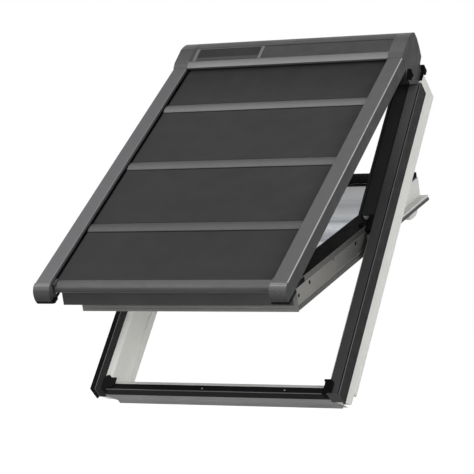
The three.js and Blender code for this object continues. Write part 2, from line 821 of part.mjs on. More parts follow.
// Shutter frame: local origin on the hinge axis, rails run down the slope
const railEnd = -hingeToRailEnd;
const downRail = (place) => railEnd - place;
const belowRail = (depth) => hingeToRailTop - depth;

function guideRail(sign) {
  const outer = railHalfSpan;
  const inner = railInnerEdge;
  const top = belowRail(0);
  const foot = belowRail(railHeight);
  const profile = [
    [inner, top - railLipUpper], [inner, top, railRound / 2], [outer, top, railRound],
    [outer, foot, railWall / 2], [inner, foot, railWall / 2], [inner, foot + railLipLower],
    [inner + railWall, foot + railLipLower], [inner + railWall, foot + railWall],
    [outer - railWall, foot + railWall], [outer - railWall, top - railWall],
    [inner + railWall, top - railWall], [inner + railWall, top - railLipUpper],
  ];
  return along(onSide(sign, profile), downRail(railLength), railEnd);
}

const linerHead = belowRail(linerTop);

function railLiner(sign) {
  const outer = railInnerEdge - gap;
  const profile = [
    [outer - linerWidth, linerHead - linerDepth], [outer, linerHead - linerDepth], [outer, linerHead],
    [outer - linerWidth, linerHead],
  ];
  return along(onSide(sign, profile), downRail(railLength), downRail(0));
}

function railEndCap(sign) {
  const top = belowRail(0);
  const start = downRail(railLength) - gap;
  const tip = start - endCapNose;
  const foot = belowRail(endCapDrop);
  const seat = belowRail(railHeight) - gap;
  const shape = new THREE.Shape();
  shape.moveTo(start, top);
  shape.bezierCurveTo(start - endCapNose * 0.55, top, tip, top - endCapDrop * 0.25,
    tip, top - endCapDrop * 0.6);
  shape.quadraticCurveTo(tip, top - endCapDrop * 0.85, tip + endCapNose * 0.2, foot);
  shape.lineTo(start + endCapBack, foot);
  shape.lineTo(start + endCapBack, seat);
  shape.lineTo(start, seat);
  shape.closePath();
  const cap = across(shape, sign * (railInnerEdge - endCapInnerLip), sign * railHalfSpan, 8);
  const channel = across([
    [tip + endCapFrontWall, foot - overrun], [start + endCapBack + overrun, foot - overrun],
    [start + endCapBack + overrun, seat + gap], [tip + endCapFrontWall, seat + gap],
  ], sign * (railInnerEdge + gap), sign * (apronHalfWidth + runningGap * 2));
  return cut(joined(cap, railStop(sign)), channel);
}

function railStop(sign) {
  const outer = railInnerEdge - gap;
  const start = downRail(railLength) - gap - endCapNose * 0.25;
  const foot = belowRail(endCapDrop);
  const high = belowRail(railHeight) + railLipLower / 2;
  return across([
    [start + endStopWidth, foot], [start - endStopWidth * 2, foot],
    [start - endStopWidth * 2, foot + endStopWidth], [start, high - endStopWidth],
    [start, high], [start + endStopWidth, high],
  ], sign * (outer - endStopWidth), sign * (outer + runningGap));
}

function hingeArm(sign) {
  const inner = railInnerEdge + railWall + gap;
  const outer = railHalfSpan - capWall - runningGap;
  const top = belowRail(railWall + gap);
  const foot = belowRail(railHeight - railWall - gap);
  const head = armHeadRadius;
  const shape = outline([
    [railEnd - armTongue, foot], [railEnd - armTongue, top], [railEnd - runningGap * 2, top, railRound],
    [head * 0.4, top * 0.75, head], [head * 1.1, head * 1.5, head], [head, 0, head / 2],
    [head * 0.5, -head * 0.87, head / 3], [-head * 0.5, -head * 0.87, head / 3], [-head, 0, head / 3],
    [-head * 0.35, armPinClearRadius], [railEnd, foot],
  ]);
  const body = across(shape, sign * inner, sign * outer, 5);
  return cut(body, rod(pinRadius + pinGap, sign * (inner - overrun), sign * (outer + overrun), 0, 0));
}

function fabricPanel(fromPlace, toPlace) {
  const top = belowRail(fabricDepth);
  return across([
    [downRail(toPlace), top - fabricThickness], [downRail(fromPlace), top - fabricThickness],
    [downRail(fromPlace), top], [downRail(toPlace), top],
  ], -curtainHalfWidth, curtainHalfWidth);
}

function slat(place) {
  const centre = downRail(place);
  const half = slatWidth / 2;
  const foot = belowRail(fabricDepth) - slatThickness;
  const crown = foot + slatCrown;
  return across([
    [centre - half, foot], [centre + half, foot], [centre + half, foot + slatThickness, slatThickness / 2],
    [centre + half * 0.5, crown, slatThickness * 2], [centre - half * 0.5, crown, slatThickness * 2],
    [centre - half, foot + slatThickness, slatThickness / 2],
  ], -curtainHalfWidth, curtainHalfWidth);
}

function bottomBar() {
  const high = downRail(bottomBarPlace);
  const low = high - bottomBarWidth;
  const top = belowRail(bottomBarTop);
  const bar = across([
    [high, top - bottomBarHeight], [low + bottomBarFall, top - bottomBarHeight - bottomBarFall],
    [low, top - bottomBarHeight, bottomBarFall / 2],
    [low + bottomBarFall, top - bottomBarFall, bottomBarFall],
    [high - bottomBarFall * 2, top, bottomBarFall], [high, top, bottomBarFall / 2],
  ], -bottomBarHalfWidth, bottomBarHalfWidth);
  return joined(bar, ...sides.map(({ sign }) => barRunner(sign)));
}

function barRunner(sign) {
  const high = downRail(bottomBarPlace);
  const top = belowRail(railLipUpper) - runnerGap;
  const foot = linerHead + runnerGap;
  const inner = bottomBarHalfWidth - runningGap;
  return across([
    [high - runnerLength, foot], [high, foot],
    [high, top], [high - runnerLength, top],
  ], sign * inner, sign * (inner + runnerReach));
}

// A point of the shutter at rest, in the window's own up and out
function restPoint(up, out) {
  const turned = new THREE.Vector2(up, out)
    .rotateAround(new THREE.Vector2(), -THREE.MathUtils.degToRad(shutterAngle));
  return [turned.x + hingeUp, turned.y + hingeOut];
}

const seamTop = restPoint(railEnd + runningGap, belowRail(0));
const seamFoot = restPoint(railEnd + runningGap, belowRail(railHeight));
const curtainSeam = restPoint(railEnd + runningGap, belowRail(fabricDepth));
const casingHeight = seamTop[1] + crownRise - casingFoot;
const casingAt = ([upShare, outShare]) => [
  seamTop[0] + upShare * casingLength, casingFoot + outShare * casingHeight];

function casingOutline() {
  return [seamTop, ...casingCrownShares.map(casingAt), ...casingBackShares.map(casingAt),
    casingAt(casingFrontFootShares), casingAt(casingLipShares)];
}

function capOutline() {
  const foot = frontPlane + gap;
  const nose = hingeUp - hexRadius - capWall * 1.4;
  return [seamTop, ...casingCrownShares.map(casingAt), ...casingBackShares.map(casingAt),
    [frameLength, foot], [frameLength - capFootLength, foot], [nose, hingeOut - hexRadius * 0.8],
    [nose, hingeOut + hexRadius * 0.8], seamFoot];
}

// The flat part of the crown that carries the solar panel and the insert
const crownFront = casingAt(casingCrownShares[0]);
const crownBack = casingAt(casingCrownShares[1]);
const crownLength = Math.hypot(crownBack[0] - crownFront[0], crownBack[1] - crownFront[1]);
const crownDirection = [0, 1].map((axis) => (crownBack[axis] - crownFront[axis]) / crownLength);
const onCrown = (share, depth) => [
  crownFront[0] + crownDirection[0] * share * crownLength + crownDirection[1] * depth,
  crownFront[1] + crownDirection[1] * share * crownLength - crownDirection[0] * depth];
const solarEnd = -casingHalf + solarFrameShare * casingHalf * 2;
const solarFrom = recessStartShare + solarFrontRim / crownLength;
const solarTo = recessEndShare - solarBackRim / crownLength;

// The inside of the shell's bottom wall
const floorBack = casingAt(casingBackShares[3]);
const floorFront = casingAt(casingFrontFootShares);
const floorRun = floorBack[0] - floorFront[0];
const floorRise = floorFront[1] - floorBack[1];
const floorSkin = casingWall * Math.hypot(floorRun, floorRise) / floorRun;
const shellFloor = (up) => floorBack[1] + (floorBack[0] - up) / floorRun * floorRise + floorSkin + gap;

function crownSlab(fromShare, toShare, fromDepth, toDepth, fromX, toX) {
  return across([
    onCrown(fromShare, toDepth), onCrown(toShare, toDepth), onCrown(toShare, fromDepth),
    onCrown(fromShare, fromDepth),
  ], fromX, toX);
}

function casingShell() {
  const points = casingOutline();
  const rounded = points.map((point, i) => (i > 0 && i < casingCrownShares.length + 2
    ? [...point, casingRound] : point));
  const hollow = inset(points, [casingWall]);
  const mouthFoot = seamFoot[1] - mouthBelowRail;
  const mouthTop = curtainSeam[1] + mouthAboveCurtain;
  const mouth = across([
    [seamFoot[0] - overrun * 2, mouthFoot], [crownFront[0], mouthFoot], [crownFront[0], mouthTop],
    [seamFoot[0] - overrun * 2, mouthTop],
  ], -casingHalf - overrun, casingHalf + overrun);
  const recess = crownSlab(recessStartShare, recessEndShare, -overrun, recessDepth,
    -casingHalf + solarFrameInset, casingHalf + overrun);
  const shell = cut(across(rounded, -casingHalf, casingHalf, 3),
    across(hollow, -casingHalf - overrun, casingHalf + overrun), mouth, recess);
  return joined(shell, solarTray());
}

function casingEndCap(sign) {
  const points = capOutline();
  const rounded = points.map((point, i) => (i > 0 && i < casingCrownShares.length + 2
    ? [...point, casingRound] : point));
  const inner = railInnerEdge;
  const wall = railHalfSpan - capWall;
  const hollow = across(inset(points, [capWall]), sign * (inner - overrun), sign * wall);
  const mouthTop = belowRail(capWall);
  const mouthFoot = belowRail(railHeight) + runningGap / 2;
  const mouth = across([
    restPoint(railEnd - overrun, mouthFoot), restPoint(railEnd + capWall * 3, mouthFoot),
    restPoint(railEnd + capWall * 3, mouthTop), restPoint(railEnd - overrun, mouthTop),
  ], sign * (inner - overrun), sign * wall);
  const hex = new THREE.Shape();
  Array.from({ length: 6 }, (_, i) => i * Math.PI / 3).forEach((angle, i) => {
    const up = hingeUp + (hexRadius + gap) * Math.cos(angle);
    const out = hingeOut + (hexRadius + gap) * Math.sin(angle);
    if (i === 0) hex.moveTo(up, out);
    else hex.lineTo(up, out);
  });
  hex.closePath();
  const hole = across(hex, sign * (railHalfSpan - capWall - overrun), sign * (railHalfSpan + overrun));
  return cut(across(rounded, sign * inner, sign * railHalfSpan, 3), hollow, mouth, hole);
}

function hingePin(sign) {
  const hexCap = new THREE.CylinderGeometry(hexRadius, hexRadius, hexDepth, 6)
    .rotateZ(Math.PI / 2).rotateX(Math.PI / 6)
    .translate(sign * (railHalfSpan - capWall + hexDepth / 2 + gap / 2), hingeUp, hingeOut);
  const inner = railInnerEdge + runningGap * 3;
  const outer = railHalfSpan - capWall + hexDepth / 2;
  return joined(hexCap, rod(pinRadius, sign * inner, sign * outer, hingeUp, hingeOut));
}

function solarTray() {
  const start = -casingHalf + solarFrameInset + gap;
  const outer = crownSlab(recessStartShare + recessMarginShare, recessEndShare - recessMarginShare,
    recessDepth - gap - solarRimHeight, recessDepth + gap, start, solarEnd);
  const pocket = crownSlab(solarFrom, solarTo, -overrun,
    recessDepth - gap - solarRimHeight + solarGlassThickness, start + solarRim, solarEnd - solarRim);
  return cut(outer, pocket);
}

function solarPanel() {
  const start = -casingHalf + solarFrameInset + gap;
  const margin = gap / crownLength;
  const floor = recessDepth - gap - solarRimHeight + solarGlassThickness - gap;
  return crownSlab(solarFrom + margin, solarTo - margin,
    floor - solarGlassThickness + gap * 2, floor, start + solarRim + gap, solarEnd - solarRim - gap);
}

function casingInsert() {
  return crownSlab(recessStartShare + recessMarginShare, recessEndShare - recessMarginShare,
    recessDepth - gap - insertThickness, recessDepth - gap, solarEnd + gap, casingHalf);
}

// Roller, its brackets and the drive
function rollerTube() {
  const tube = rod(rollerRadius, -rollerHalfLength, rollerHalfLength, rollerUp, rollerOut, 28);
  const bore = rod(rollerRadius - rollerWall, -rollerHalfLength - overrun, rollerHalfLength + overrun,
    rollerUp, rollerOut, 28);
  return cut(tube, bore);
}

function rollerBracket(sign) {
  const outer = casingHalf - gap;
  const half = bracketHalfSize;
  const plate = across([
    [rollerUp - half, rollerOut - half, overrun], [rollerUp + half, rollerOut - half, overrun],
    [rollerUp + half, rollerOut + half, overrun], [rollerUp - half, rollerOut + half, overrun],
  ], sign * (outer - bracketThickness), sign * outer);
  const foot = across([
    [rollerUp - half / 3, shellFloor(rollerUp - half / 3)],
    [rollerUp + half / 3, shellFloor(rollerUp + half / 3)],
    [rollerUp + half / 3, rollerOut], [rollerUp - half / 3, rollerOut],
  ], sign * (outer - bracketThickness), sign * outer);
  const spigot = rod(rollerRadius - rollerWall - runningGap / 2, sign * (outer - bracketThickness / 2),
    sign * (rollerHalfLength - overrun * 2), rollerUp, rollerOut, 28);
  return sign > 0 ? joined(plate, foot, spigot, motor()) : joined(plate, foot, spigot);
}

function motor() {
  const end = rollerHalfLength - overrun;
  const start = end - motorLengthShare * rollerHalfLength * 2;
  return joined(rod(motorRadius, start, end, rollerUp, rollerOut),
    rod(spigotRadius, start - overrun * 2, end, rollerUp, rollerOut));
}

function batteryPack() {
  const start = seamTop[0] + batteryUpShare * casingLength;
  const low = shellFloor(start);
  return across([
    [start, low], [start + batteryWidth, shellFloor(start + batteryWidth)],
    [start + batteryWidth, low + batteryHeight, overrun],
    [start, low + batteryHeight, overrun],
  ], (batteryCentreShare * 2 - batteryLengthShare) * casingHalf,
  (batteryCentreShare * 2 + batteryLengthShare) * casingHalf);
}

const frameGroup = new THREE.Group();
piece(frameGroup, 'frame_bottom_rail', bottomRail(), 'timber');
piece(frameGroup, 'frame_top_rail', topRail(), 'timber');
piece(frameGroup, 'bottom_cladding', bottomCladding(), 'cladding');
piece(frameGroup, 'top_seal', topSeal(), 'blackPlastic');
piece(frameGroup, 'casing_shell', casingShell(), 'alloy');
piece(frameGroup, 'casing_insert', casingInsert(), 'darkPlate');
piece(frameGroup, 'solar_panel', solarPanel(), 'solarGlass');
piece(frameGroup, 'roller_tube', rollerTube(), 'steel');
piece(frameGroup, 'battery_pack', batteryPack(), 'blackPlastic');

const sashGroup = new THREE.Group();
sashGroup.position.set(0, pivotUp, pivotOut);
sashGroup.rotation.x = -THREE.MathUtils.degToRad(sashAngle);
piece(sashGroup, 'sash_bottom_rail', sashCrossRail(-1, sashLowerReach, sashLowerReach), 'timber');
piece(sashGroup, 'sash_top_rail',
  joined(sashCrossRail(1, sashUpperReach, sashFlangeReach), ventHinge()), 'white');
piece(sashGroup, 'glass_unit', glassUnit(), 'glass');
piece(sashGroup, 'sash_apron', apron(), 'cladding');
piece(sashGroup, 'sash_end_plate', sashEndPlate(), 'sashGrey');
piece(sashGroup, 'sash_top_cap', sashTopCap(), 'blackCladding');
piece(sashGroup, 'vent_bar', ventBar(), 'white');

const shutterGroup = new THREE.Group();
shutterGroup.position.set(0, hingeUp, hingeOut);
shutterGroup.rotation.x = -THREE.MathUtils.degToRad(shutterAngle);
piece(shutterGroup, 'bottom_bar', bottomBar(), 'alloy');

const panelEdges = [-fabricTuck, ...slatPlaces.flatMap((place) => [
  place - slatWidth / 2 - gap, place + slatWidth / 2 + gap]), bottomBarPlace - gap];
slatPlaces.forEach((place, i) => piece(shutterGroup, `slat_${i + 1}`, slat(place), 'alloy'));
for (let i = 0; i < panelEdges.length; i += 2) {
  piece(shutterGroup, `fabric_panel_${i / 2 + 1}`, fabricPanel(panelEdges[i], panelEdges[i + 1]), 'fabric');
}

for (const { side, sign, ...block } of sides) {
  piece(frameGroup, `frame_side_${side}`, frameSide(sign), 'timber');
  piece(frameGroup, `side_cladding_${side}`, sideCladding(sign), 'cladding');
  piece(frameGroup, `upper_cover_${side}`, upperCover(sign), 'blackCladding');
  piece(frameGroup, `corner_block_${side}`, cornerBlock({ sign, ...block }), 'blackPlastic');
  piece(frameGroup, `pivot_housing_${side}`, pivotHousing(sign), 'blackPlastic');
  piece(frameGroup, `casing_end_cap_${side}`, casingEndCap(sign), 'alloy');
  piece(frameGroup, `hinge_pin_${side}`, hingePin(sign), 'blackPlastic');
  piece(frameGroup, `roller_bracket_${side}`, rollerBracket(sign), 'steel');
  piece(sashGroup, `sash_side_${side}`, sashSide(sign), 'white');
  piece(sashGroup, `sash_top_cover_${side}`, sashTopCover(sign), 'blackCladding');
  piece(sashGroup, `sash_side_cover_${side}`, sashSideCover(sign), 'sashGrey');
  piece(sashGroup, `sash_gasket_${side}`, sashGasket(sign), 'rubber');
  piece(sashGroup, `pivot_arm_${side}`, pivotArm(sign), 'steel');
  piece(sashGroup, `support_shoe_${side}`, supportShoe(sign), 'blackPlastic');
  piece(shutterGroup, `guide_rail_${side}`, guideRail(sign), 'alloy');
  piece(shutterGroup, `rail_liner_${side}`, railLiner(sign), 'rubber');
  piece(shutterGroup, `rail_end_cap_${side}`, railEndCap(sign), 'alloy');
  piece(shutterGroup, `hinge_arm_${side}`, hingeArm(sign), 'blackPlastic');
}

const windowGroup = new THREE.Group();
windowGroup.rotation.x = THREE.MathUtils.degToRad(roofPitch);
windowGroup.add(frameGroup, sashGroup, shutterGroup);

windowGroup.position.set(0, -originUp, 0).applyEuler(windowGroup.rotation);

const part = new THREE.Group();
part.add(windowGroup);

export default part;
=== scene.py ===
"""Roof window with its sash tilted open under an outside blackout shutter, dressed for the picture."""

import logging
import math
from dataclasses import dataclass, replace
from enum import Enum

import bmesh
import bpy
from mathutils import Matrix, Vector


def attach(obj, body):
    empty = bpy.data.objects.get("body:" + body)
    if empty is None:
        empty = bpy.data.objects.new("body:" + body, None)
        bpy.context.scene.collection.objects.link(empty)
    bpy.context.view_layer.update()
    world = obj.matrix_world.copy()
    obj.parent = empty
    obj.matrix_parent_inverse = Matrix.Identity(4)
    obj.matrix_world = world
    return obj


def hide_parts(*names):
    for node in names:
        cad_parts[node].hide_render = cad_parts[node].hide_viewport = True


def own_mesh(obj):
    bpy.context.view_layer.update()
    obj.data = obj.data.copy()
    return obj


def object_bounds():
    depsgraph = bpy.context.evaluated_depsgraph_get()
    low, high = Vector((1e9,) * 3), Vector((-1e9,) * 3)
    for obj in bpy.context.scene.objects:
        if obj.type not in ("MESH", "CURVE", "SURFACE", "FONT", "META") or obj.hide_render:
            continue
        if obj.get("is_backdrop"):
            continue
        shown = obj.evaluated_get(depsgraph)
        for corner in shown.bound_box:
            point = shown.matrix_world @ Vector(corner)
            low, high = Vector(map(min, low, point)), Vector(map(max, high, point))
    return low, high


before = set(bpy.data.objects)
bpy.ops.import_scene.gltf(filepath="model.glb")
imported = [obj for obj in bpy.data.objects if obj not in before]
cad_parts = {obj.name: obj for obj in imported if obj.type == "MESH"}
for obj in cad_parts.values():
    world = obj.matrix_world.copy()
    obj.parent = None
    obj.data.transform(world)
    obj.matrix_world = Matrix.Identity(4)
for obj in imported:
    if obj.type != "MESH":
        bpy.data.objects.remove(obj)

log = logging.getLogger("roof_window")

MM = 0.001
ROOF_PITCH = 54.0
ORIGIN_UP = 43.5
FAR = 9999.0
SIDES = {"left": -1, "right": 1}

FULL_LIGHT = 255
SRGB_KNEE = 0.04045
SRGB_SLOPE = 12.92
SRGB_OFFSET = 0.055
SRGB_POWER = 2.4
WAVE_RATE = 20
MIX_COLOURS = (6, 7)
MIX_RESULT = 2

NOISE_DETAIL = 3
NOISE_RANGE = (0.3, 0.7)
MOTTLE_DETAIL = 4
GRAIN_DETAIL = 2
BAND_DETAIL = 2
GLINT_GAIN = 4
GLINT_RANGE = (0.5, 0.8)
GLINT_SHARE = 1.5
# patches along rounded edges, partly rubbed paint and partly painted highlight
WEAR_AND_HIGHLIGHT_SPOTS = 60
LEAST_WEAR_AND_HIGHLIGHT_SHARE = 0.35
GLOSS_SPOTS = 5
GLOSS_SHARE = 0.12
GRAIN_BUMP = 0.35

MERGE_DISTANCE = 0.02
SHARD_LENGTH = 0.01
FLAT_DEGREES = 0.6
CUT_TOLERANCE = 0.001
HALF = 0.5

Point = tuple[float, float]
Place = tuple[float, float, float]
Colour = tuple[float, float, float]


class Body(Enum):
    """The bodies that pieces ride on."""

    FRAME = "frame"
    SASH = "sash"
    SHUTTER = "shutter_frame"
    BAR = "bottom_bar"
    VENT = "vent_bar"


class Run(Enum):
    """The direction in which a drawn section is pulled out."""

    ACROSS = "across"
    UP = "up"
    OUT = "out"


@dataclass(frozen=True)
class Space:
    """The axes of one body, in millimetres: across the window, up its slope and out of it."""

    tilt: float
    up: float
    out: float

    def matrix(self) -> Matrix:
        """Work out the way from these millimetres to metres in the frame.

        Returns:
            The matrix that takes a place from the one to the other.
        """
        window = Matrix.Rotation(math.radians(ROOF_PITCH), 4, "X") @ Matrix.Translation((0, -ORIGIN_UP, 0))
        own = Matrix.Translation((0, self.up, self.out)) @ Matrix.Rotation(-math.radians(self.tilt), 4, "X")
        return Matrix.Scale(MM, 4) @ window @ own

    def slope(self) -> float:
        """Return the angle in degrees between the space's up axis and the floor."""
        return ROOF_PITCH - self.tilt


WINDOW = Space(0, 0, 0)
SASH = Space(36.5, 599, 118)
SHUTTER = Space(16.100351, 1108, 190)
HINGE = Space(ROOF_PITCH, 1108, 190)


def linear(value: float) -> float:
    """Turn a display value into a linear share.

    Args:
        value: the display value, from 0 to 255.

    Returns:
        The linear share, from 0 to 1.
    """
    share = value / FULL_LIGHT
    if share <= SRGB_KNEE:
        return share / SRGB_SLOPE
    return ((share + SRGB_OFFSET) / (1 + SRGB_OFFSET)) ** SRGB_POWER


def linked(name: str, data: bpy.types.ID) -> bpy.types.Object:
    """Put a new object in the scene.

    Args:
        name: the object's name.
        data: the mesh, lamp or camera that it holds.

    Returns:
        The new object.
    """
    made = bpy.data.objects.new(name, data)
    bpy.context.scene.collection.objects.link(made)
    return made


def grey(value: float, blue: float = 1) -> Colour:
    """Return a display grey with a little more or less blue."""
    return value, value, value + blue


def shade(colour: Colour, factor: float = 1) -> tuple[float, float, float, float]:
    """Return a display colour as linear RGBA, made lighter or darker by a factor."""
    return tuple(min(1, linear(min(FULL_LIGHT, part * factor))) for part in colour) + (1,)


def wave_scale(pitch: float) -> float:
    """Return the Wave Texture scale whose bands lie a pitch in millimetres apart."""
    return 2 * math.pi / WAVE_RATE / (pitch * MM)


class Graph:
    """A material's node tree, with short ways to add and join nodes."""

    def __init__(self, name: str) -> None:
        """Start a material with a Principled shader.

        Args:
            name: the material's name.
        """
        self.material = bpy.data.materials.new(name)
        self.material.use_nodes = True
        self.tree = self.material.node_tree
        self.shader = self.tree.nodes["Principled BSDF"]
        self.output = self.tree.nodes["Material Output"]

    def node(self, kind: str, **values: object) -> bpy.types.Node:
        """Add a node and set its properties and input values.

        Args:
            kind: the node's type without the ShaderNode prefix.
            values: properties of the node, or values of its inputs.

        Returns:
            The new node.
        """
        made = self.tree.nodes.new("ShaderNode" + kind)
        for key, value in values.items():
            if hasattr(made, key):
                setattr(made, key, value)
            else:
                made.inputs[key.replace("_", " ")].default_value = value
        return made

    def join(self, start: bpy.types.NodeSocket, end: bpy.types.NodeSocket) -> None:
        """Link an output to an input."""
        self.tree.links.new(start, end)

    def place(self, turn: float = 0, stretch: Place = (1, 1, 1)) -> bpy.types.NodeSocket:
        """Return Object coordinates, turned about the X axis and stretched.

        Args:
            turn: degrees about the X axis, so that a pattern lies along a slope.
            stretch: scale of the coordinates along the turned axes.

        Returns:
            The socket that holds the coordinates.
        """
        coordinates = self.node("TexCoord")
        mapping = self.node("Mapping", Rotation=(-math.radians(turn), 0, 0), Scale=stretch)
        self.join(coordinates.outputs["Object"], mapping.inputs["Vector"])
        return mapping.outputs["Vector"]

    def noise(self, place: bpy.types.NodeSocket, scale: float,
              detail: float = NOISE_DETAIL) -> bpy.types.NodeSocket:
        """Return the height of a noise pattern.

        Args:
            place: the coordinates that it reads.
            scale: its number of spots along a metre.
            detail: how many finer layers it has.

        Returns:
            The socket with values from 0 to 1.
        """
        made = self.node("TexNoise", Scale=scale, Detail=detail)
        self.join(place, made.inputs["Vector"])
        return made.outputs["Fac"]

    def spread(self, value: bpy.types.NodeSocket, low: float, high: float, start: float = NOISE_RANGE[0],
               end: float = NOISE_RANGE[1]) -> bpy.types.NodeSocket:
        """Return a value moved from one range to another.

        Args:
            value: the socket to move.
            low: what it becomes at start.
            high: what it becomes at end.
            start: the lower end of its own range.
            end: the upper end of its own range.

        Returns:
            The socket with the moved value.
        """
        made = self.node("MapRange")
        for name, number in (("From Min", start), ("From Max", end), ("To Min", low), ("To Max", high)):
            made.inputs[name].default_value = number
        self.join(value, made.inputs["Value"])
        return made.outputs["Result"]

    def blend(self, factor: bpy.types.NodeSocket, first: object, second: object) -> bpy.types.NodeSocket:
        """Return a mix of two colours.

        Args:
            factor: the share of the second.
            first: a colour or a socket.
            second: a colour or a socket.

        Returns:
            The socket with the mixed colour.
        """
        made = self.node("Mix", data_type="RGBA")
        slots = [made.inputs[0]] + [made.inputs[index] for index in MIX_COLOURS]
        for value, slot in zip((factor, first, second), slots):
            if isinstance(value, bpy.types.NodeSocket):
                self.join(value, slot)
            else:
                slot.default_value = value
        return made.outputs[MIX_RESULT]

    def along(self, axis: int, span: Point) -> bpy.types.NodeSocket:
        """Return a share that grows from 0 to 1 along an axis of the object.

        Args:
            axis: the axis's number.
            span: the places in metres where it starts and ends.

        Returns:
            The socket with the share.
        """
        parts = self.node("SeparateXYZ")
        self.join(self.place(), parts.inputs[0])
        return self.spread(parts.outputs[axis], 0, 1, *span)

    def attribute(self, name: str) -> bpy.types.NodeSocket:
        """Return the value of a mesh attribute."""
        return self.node("Attribute", attribute_name=name).outputs["Fac"]

    def bump(self, height: bpy.types.NodeSocket, strength: float, depth: float) -> None:
        """Give the shader a bump.

        Args:
            height: the socket with the surface's height.
            strength: how strongly it shows.
            depth: its depth in millimetres.
        """
        made = self.node("Bump", Strength=strength, Distance=depth * MM)
        self.join(height, made.inputs["Height"])
        self.join(made.outputs["Normal"], self.shader.inputs["Normal"])

    def set(self, **values: object) -> None:
        """Set the shader's own sockets."""
        for key, value in values.items():
            self.shader.inputs[key.replace("_", " ")].default_value = value


@dataclass(frozen=True)
class Surface:
    """A named surface that has a material of its own."""

    name: str
    colour: Colour = (0, 0, 0)
    slot: str = "alloy"

    def material(self) -> bpy.types.Material:
        """Return the surface's material, made once."""
        return bpy.data.materials.get(self.name) or self.build().material

    def build(self) -> Graph:
        """Make the node tree.

        Returns:
            The graph with its shader fed.
        """
        raise NotImplementedError(self.name)


@dataclass(frozen=True)
class Finish(Surface):
    """A surface with mottled colour, fine grain, uneven gloss, and edges partly rubbed and partly painted
    highlight.
    """

    roughness: float = 0.5
    metal: float = 0
    variation: float = 0.05
    patch: float = 9
    grain: float = 900
    grain_light: float = 0.06
    grain_depth: float = 0.02
    stretch: Place = (1, 1, 1)
    turn: float = 0
    # edge: how much lighter the rounded edges are, partly rubbed paint and partly painted highlight
    edge: float = 1.25
    specular: float = 0.5
    # far, axis and span fade the colour along one axis; the finishes use this for painted light and shade
    far: Colour | None = None
    axis: int = 1
    span: Point = (0, 1)

    def tone(self, graph: Graph, factor: float) -> object:
        """Return the colour times a factor, which may fade to the far colour along an axis.

        Args:
            graph: the graph that it belongs to.
            factor: how much lighter or darker it is.

        Returns:
            A colour, or the socket that holds it.
        """
        near = shade(self.colour, factor)
        if self.far is None:
            return near
        return graph.blend(graph.along(self.axis, self.span), near, shade(self.far, factor))

    def build(self) -> Graph:
        """Make the node tree.

        Returns:
            The graph with its shader fed.
        """
        graph = Graph(self.name)
        place = graph.place(self.turn, self.stretch)
        patches = graph.noise(place, self.patch, MOTTLE_DETAIL)
        grain = graph.noise(place, self.grain, GRAIN_DETAIL)
        base = graph.blend(graph.spread(patches, 0, 1), self.tone(graph, 1 - self.variation),
                           self.tone(graph, 1 + self.variation))
        glints = graph.spread(grain, 0, self.grain_light * GLINT_GAIN, *GLINT_RANGE)
        sparkle = graph.blend(glints, base, shade(self.colour, GLINT_SHARE))
        # rounded edges lighten in patches, partly rubbed paint and partly painted highlight
        wear_and_highlight = graph.node("Math", operation="MULTIPLY")
        graph.join(graph.attribute("worn_and_highlit"), wear_and_highlight.inputs[0])
        graph.join(graph.spread(graph.noise(place, WEAR_AND_HIGHLIGHT_SPOTS), LEAST_WEAR_AND_HIGHLIGHT_SHARE, 1), wear_and_highlight.inputs[1])
        worn_and_highlit = graph.blend(wear_and_highlight.outputs[0], sparkle, shade(self.colour, self.edge))
        graph.join(worn_and_highlit, graph.shader.inputs["Base Color"])
        smears = graph.noise(place, self.patch * GLOSS_SPOTS)
        rough = graph.spread(smears, self.roughness * (1 - GLOSS_SHARE), self.roughness * (1 + GLOSS_SHARE))
        graph.join(rough, graph.shader.inputs["Roughness"])
        graph.bump(grain, GRAIN_BUMP, self.grain_depth)
        graph.set(Metallic=self.metal, Specular_IOR_Level=self.specular)
        return graph


@dataclass(frozen=True)
class Lacquer(Finish):
    """Sprayed lacquer with a faint grain along the member."""

    slot: str = "timber"
    variation: float = 0.02
    patch: float = 14
    grain: float = 260
    grain_light: float = 0.03
    grain_depth: float = 0.05
    stretch: Place = (1, 0.06, 0.06)
    turn: float = ROOF_PITCH
    edge: float = 1.03


@dataclass(frozen=True)
class Coating(Finish):
    """Matt paint on folded sheet."""

    slot: str = "cladding"
    variation: float = 0.04
    patch: float = 8
    grain: float = 1100


@dataclass(frozen=True)
class Alloy(Finish):
    """Metallic paint on drawn aluminium."""

    variation: float = 0.03
    patch: float = 6
    grain: float = 1300
    grain_light: float = 0.1


@dataclass(frozen=True)
class Moulded(Finish):
    """Moulded plastic with a fine rough skin."""

    slot: str = "black_plastic"
    roughness: float = 0.6
    variation: float = 0.08
    patch: float = 20
    grain: float = 1400
    grain_light: float = 0.03
    grain_depth: float = 0.05


@dataclass(frozen=True)
class Rubber(Finish):
    """Dull rubber of the gaskets and liners."""

    slot: str = "rubber"
    roughness: float = 0.8
    variation: float = 0.05
    patch: float = 25
    grain: float = 700
    grain_light: float = 0.03
    grain_depth: float = 0.04
    edge: float = 1.2


@dataclass(frozen=True)
class Weave(Finish):
    """Coated blackout cloth with a fine plain weave."""

    slot: str = "fabric"
    roughness: float = 0.9
    patch: float = 3
    grain: float = 800
    grain_depth: float = 0.03
    turn: float = SHUTTER.slope()
    pitch: float = 1.1
    wobble: float = 0.6
    thread_strength: float = 0.25
    thread_depth: float = 0.12
    sheen: float = 0.12
    sheen_roughness: float = 0.4

    def build(self) -> Graph:
        """Add warp and weft bumps and a faint sheen to the base finish.

        Returns:
            The graph with its shader fed.
        """
        graph = super().build()
        place = graph.place(self.turn)
        cross = graph.node("Math", operation="ADD")
        for direction, slot in zip(("X", "Y"), cross.inputs):
            wave = graph.node("TexWave", bands_direction=direction, Scale=wave_scale(self.pitch),
                              Distortion=self.wobble, Detail=1)
            graph.join(place, wave.inputs["Vector"])
            graph.join(wave.outputs["Fac"], slot)
        graph.bump(cross.outputs[0], self.thread_strength, self.thread_depth)
        graph.set(Sheen_Weight=self.sheen, Sheen_Roughness=self.sheen_roughness)
        return graph


